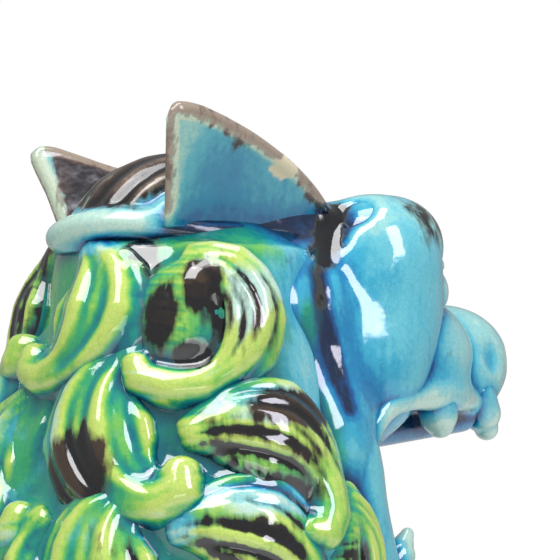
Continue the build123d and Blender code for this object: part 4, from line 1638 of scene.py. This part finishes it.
# %% Painting the curls
def paint_curls(name, mesh, points, close, wide, coat):
    row = name.replace("mane_locks", "mane_curls")
    comb, along, fine = get(mesh, "comb"), get(mesh, "along"), get(mesh, "fine")
    # the glaze lies thick in the comb grooves; the dark teal round each curl's edge and foot, where
    # it meets the neck, is partly pooled glaze and partly painted shade
    pool = 0.40 + 2.0 * (fine - 0.5) + 1.2 * (close - 0.5) + 2.2 * (wide - 0.47)
    green = np.full(len(points), 0.95)
    splash = coat["splash"]
    groove = np.clip((fine - 0.45) / 0.08, 0, 1)
    for n, place in enumerate(ROWS[row]):
        spot, across, up, out = curl_frame(place)
        p = points - spot
        x, y, c = p @ across / place[3], p @ up / place[4], p @ out
        own = (np.abs(x) < 15) & (np.abs(y) < 19) & (c > -8) & (c < 12)
        # every comb stroke picked up a little more or less of each glaze
        seed = n * 1.7 + len(row) + ord(row[-1])
        stroke = np.sin(7.1 * comb + seed) + 0.7 * np.sin(13.7 * comb + 2.3 * seed + 1.5 * along)
        pool = np.where(own, pool + 0.085 * stroke, pool)
        wash = np.sin(4.3 * comb + 2.1 * seed) + np.sin(9.2 * comb - 1.3 * seed)
        bluish = (n * 7 + len(row)) % 3 == 0 and (row, n) not in CURL_BLUE
        green = np.where(own, green - 0.24 * np.clip(wash - 0.5, 0, 1) - 0.28 * bluish, green)
        for bx, by, rx, ry in CURL_BLUE.get((row, n), []):
            mark = np.clip(1.4 - 1.2 * np.hypot((x - bx) / rx, (y - by) / ry), 0, 1)
            green = np.where(own, green - 0.8 * mark, green)
        # curls without strokes of their own are brushed by turns
        low_row = row[-1] in "45"
        if low_row:
            usual = [((n * 5) % 9 - 4, (n * 3) % 7 - 3, 8, 9, 0.95, n % 2)] if n % 3 != 1 else []
        else:
            usual = [((n * 5) % 7 - 3, 0, 8, 9, 1.0, 1)] if n % 2 else []
        for bx, by, rx, ry, strength, combed in CURL_BRUSH.get((row, n), usual):
            mark = strength * np.clip(1.5 - 1.2 * np.hypot((x - bx) / rx, (y - by) / ry), 0, 1)
            if combed:
                mark = mark * (0.30 + 0.85 * groove + 0.20 * stroke)
            splash = np.maximum(splash, np.where(own, mark, 0))
    coat.update(pool=pool, splash=splash, green=green)


# %% Painting the ears
def hump(value, middle, width):
    """A bump of height 1 at the middle."""
    return np.exp(-(((value - middle) / width) ** 2))


def paint_ear(name, mesh, points, close, wide, coat):
    word = name.split("_")[-1]
    ear = EARS[word]
    mirror = [ear["side"], 1, 1]
    p = points * mirror - ear["rear"]
    along, rise = p @ ear["across"], p @ ear["up"]
    facing = (normals_of(mesh) * mirror) @ np.cross(ear["across"], ear["up"])
    outline = np.array(EAR[word])[1:-1]
    rim = np.full(len(points), 1e9)
    for q, r in zip(outline, outline[1:]):
        v = r - q
        t = np.clip(((along - q[0]) * v[0] + (rise - q[1]) * v[1]) / (v @ v), 0, 1)
        rim = np.minimum(rim, np.hypot(along - q[0] - t * v[0], rise - q[1] - t * v[1]))
    # brown on the rim; the material's streaks draw it down in fine runs
    run = 3.0 + 2.6 * hump(along, 13, 3) + 1.4 * hump(along, 5, 2) + 1.6 * hump(along, 33, 4)
    brown = np.clip(1.25 - 1.5 * rim / run, -0.5, 1.1) * np.clip((along + 4) / 2.5, 0.25, 1)
    splash = np.where(rise < -2, coat["splash"], 0) + brown
    # the face is dished and holds more glaze in its middle
    dish = np.exp(-(((along - 11) / 9) ** 2 + ((rise - 8) / 9) ** 2))
    face = np.clip((rim - 1.3) / 1.6, 0, 1)
    pool = coat["pool"]
    pool = pool * (1 - face) + face * np.clip(0.5 * pool + 0.20 + 0.22 * dish, 0.2, 0.66)
    pool = pool - 0.08 * (1 - face)
    if word == "right":
        splash = np.where(facing < -0.3, 0.35, splash)
        # a chip in the glaze near the front of the rim
        a, b = along - 25.5, rise - 10.6
        chip = (
            np.hypot((a - 0.5 * b) / 4.0, (b + 0.25 * a) / 2.5)
            + 0.16 * np.sin(2.3 * along) * np.sin(2.9 * rise)
        )
        coat["bare"] = np.where(facing > 0.4, np.clip((1.0 - chip) * 6, 0, 1), 0)
    else:
        splash = np.where(facing < 0.0, np.clip((along + 0.5) / 2.5, 0, 1.15), splash)
    coat.update(pool=pool, splash=splash)


# %% Painting the head
def paint_crest(name, mesh, points, close, wide, coat):
    rise = points[:, 2] - HEAD_Z
    top = np.clip((rise - 11.0) / 2.4, 0, 1)
    blot = near(points, [head(-38, 15, 12.5), head(-30, 18, 12)], 5)
    coat["splash"] = (
        1.1 * top * (0.80 + 2.2 * (close - 0.40)) * (1 - 0.9 * np.clip(blot * 1.6, 0, 1))
    )
    # the glaze is thin on the rolled lip
    coat["pool"] = coat["pool"] - 0.14 * np.clip((11.0 - rise) / 2, 0, 1)


def paint_snout(name, mesh, points, close, wide, coat):
    # the glaze ran off the snout and lies thin there; the roof of the mouth is darkened as painted
    # shade
    coat["pool"] = coat["pool"] - 0.11
    if name == "upper_jaw_clay":
        # painted shade: the underside of the upper jaw, inside the mouth, is darkened
        under = np.clip((HEAD_Z - 26.0 - points[:, 2]) / 2.0, 0, 1)
        inner = np.clip((19 - np.abs(points[:, 0])) / 4, 0, 1)
        coat["pool"] = coat["pool"] + 0.65 * under * inner


def paint_eye(name, mesh, points, close, wide, coat):
    side = 1 if name.endswith("left") else -1
    pupil = near(points, [head(24, -side * 18.6, -2.5), head(30, -side * 20.5, -2.5)], 3.6)
    coat["splash"] = np.clip(pupil * 3, 0, 1.2)
    coat["pool"] = coat["pool"] - 0.18


def paint_teeth(name, mesh, points, close, wide, coat):
    coat["pool"] = coat["pool"] + 0.10


def paint_neck(name, mesh, points, close, wide, coat):
    # green between the curls, blue at the front, and navy down the throat
    front = np.clip((HEAD_Y - points[:, 1] + 24) / 8, 0, 1)
    front = front * np.clip((points[:, 2] - HEAD_Z + 86) / 10, 0, 1)
    throat = np.clip((30 - np.abs(points[:, 0])) / 6, 0, 1) * front
    coat["green"] = 0.82 * (1 - 0.85 * front)
    coat["pool"] = 0.46 + 0.8 * (close - 0.5) + 1.0 * (wide - 0.55) - 0.16 * front + 0.45 * throat


# %% Painting the body
def paint_flames(name, mesh, points, close, wide, coat):
    # turquoise and green hair with brown in its grooves
    coat["splash"] = 0.35 + 2.2 * (close - 0.45)
    coat["green"] = 0.55 + 0.3 * np.sin(points[:, 0] * 0.9 + points[:, 2] * 0.2)


def paint_brown(name, mesh, points, close, wide, coat):
    coat["splash"] = np.full(len(points), 0.85)


def paint_amber(name, mesh, points, close, wide, coat):
    coat["green"] = np.full(len(points), 1.0)


def paint_plinth(name, mesh, points, close, wide, coat):
    x, y, z = points.T
    # the glaze stops short of the foot
    stop = 3.2 + 0.9 * np.sin(x * 0.31) * np.sin(y * 0.23 + 1)
    coat["bare"] = np.clip((stop - z) / 0.8, 0, 1)
    upper, lower = np.clip(1 - np.abs(z - 40) / 5, 0, 1), np.clip(1 - np.abs(z - 12) / 5, 0, 1)
    coat["splash"] = 0.62 * upper + 0.3 * lower


# %% Painting every piece
PAINTERS = {
    ("mane_locks",): paint_curls,
    ("ear_slab",): paint_ear,
    ("crest_roll",): paint_crest,
    ("nose_clay", "upper_jaw_clay"): paint_snout,
    ("eyeball",): paint_eye,
    ("upper_teeth_clay", "lower_teeth_clay"): paint_teeth,
    ("neck",): paint_neck,
    ("beard_locks", "elbow_flames", "tail_hooks"): paint_flames,
    ("beaded_collar", "ball_ribbon_band", "tongue_clay"): paint_brown,
    ("brocade_ball", "collar_bell"): paint_amber,
    ("plinth",): paint_plinth,
}

for name, made in PIECES.items():
    obj = made["object"]
    mesh, points = obj.data, mesh_points(obj.data)
    close, wide = close_clay.sample(points), wide_clay.sample(points)
    pool = 0.44 + 2.6 * (close - 0.5) + 1.0 * (wide - 0.5)
    # pooled glaze and painted shade along the creases and joins
    for line, reach, strength in CREASE_POOL_AND_SHADE:
        pool = pool + strength * near(points, line, reach)
    coat = {
        "pool": pool,
        "splash": gathered(points, SPLASHES),
        "green": gathered(points, GREENS),
        "bare": np.zeros(len(points)),
    }
    for starts, painter in PAINTERS.items():
        if name.startswith(starts):
            painter(name, mesh, points, close, wide, coat)
    coat["pool"] = np.clip(coat["pool"], 0, 1)
    for key, values in coat.items():
        put(mesh, key, values)
    mesh.materials.clear()
    mesh.materials.append(GLAZES[obj["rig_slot"]])

# %% [markdown]
# ## Studio

# %% Floor, lights and camera
floor_mesh = bpy.data.meshes.new("floor")
floor_mesh.from_pydata(
    [(-0.9, -0.9, 0), (0.9, -0.9, 0), (0.9, 0.9, 0), (-0.9, 0.9, 0)], [], [(0, 1, 2, 3)]
)
floor = bpy.data.objects.new("studio_floor", floor_mesh)
bpy.context.scene.collection.objects.link(floor)
material, tree = fresh("white paper sweep, matte")
shader = node(tree, "ShaderNodeBsdfPrincipled", ("Base Color", srgb("#F4F4F2")), ("Roughness", 0.9))
node(tree, "ShaderNodeOutputMaterial", ("Surface", shader.outputs[0]))
floor_mesh.materials.append(material)
floor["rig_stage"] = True

world = bpy.data.worlds.new("studio")
bpy.context.scene.world = world
world.use_nodes = True
tree = world.node_tree
tree.nodes.clear()
# the paper is pure white to the eye, and a dim grey room in what the glaze reflects
seen = node(tree, "ShaderNodeBackground", [1, 1, 1, 1], 1.0)
felt = node(tree, "ShaderNodeBackground", srgb("#F0F0F0"), 0.36)
straight = node(tree, "ShaderNodeLightPath").outputs["Is Camera Ray"]
mixed = node(tree, "ShaderNodeMixShader", straight, felt.outputs[0], seen.outputs[0])
node(tree, "ShaderNodeOutputWorld", ("Surface", mixed.outputs[0]))

target = Vector(head(0, 0, 0)) * MM


def softbox(name, azimuth, elevation, away, wide, tall, power, tint="#FFFFFF", aim=None):
    light = bpy.data.lights.new(name, "AREA")
    light.shape = "RECTANGLE"
    light.size, light.size_y = wide, tall
    light.energy = power
    light.color = srgb(tint)[:3]
    obj = bpy.data.objects.new(name, light)
    bpy.context.scene.collection.objects.link(obj)
    a, e = math.radians(azimuth), math.radians(elevation)
    back = Vector((math.sin(a) * math.cos(e), -math.cos(a) * math.cos(e), math.sin(e)))
    obj.location = target + back * away
    obj.rotation_mode = "QUATERNION"
    obj.rotation_quaternion = (-back).to_track_quat("-Z", "Y")
    return obj


softbox("key_box", 205, 55, 0.9, 0.45, 0.6, 6.0)
softbox("side_box", 285, 30, 0.8, 0.25, 0.5, 3.2, "#F2F0FF")
softbox("top_box", 236, 85, 0.8, 0.5, 0.35, 3.0)
softbox("low_box", 250, -14, 1.2, 0.7, 0.25, 1.2)

camera = bpy.data.cameras.new("camera")
camera.lens = 128
camera.sensor_width = 36
cam = bpy.data.objects.new("camera", camera)
bpy.context.scene.collection.objects.link(cam)
AZIMUTH, ELEVATION, AWAY = 236, -2.5, 0.40
a, e = math.radians(AZIMUTH), math.radians(ELEVATION)
back = Vector((math.sin(a) * math.cos(e), -math.cos(a) * math.cos(e), math.sin(e)))
cam.location = target + back * AWAY
cam.rotation_mode = "QUATERNION"
cam.rotation_quaternion = (-back).to_track_quat("-Z", "Y")
bpy.context.scene.camera = cam
bpy.context.scene.view_settings.view_transform = "Standard"

# %% Hand over
counts = {
    name: sum(len(p.vertices) - 2 for p in made["object"].data.polygons)
    for name, made in PIECES.items()
}
most = sorted(counts.items(), key=lambda pair: -pair[1])[:6]
print("triangles", sum(counts.values()), "most", most)
for obj in list(moulds.objects):
    bpy.data.objects.remove(obj)
bpy.data.collections.remove(moulds)
low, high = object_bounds()
print("shown box", [round(v, 3) for v in low], [round(v, 3) for v in high])
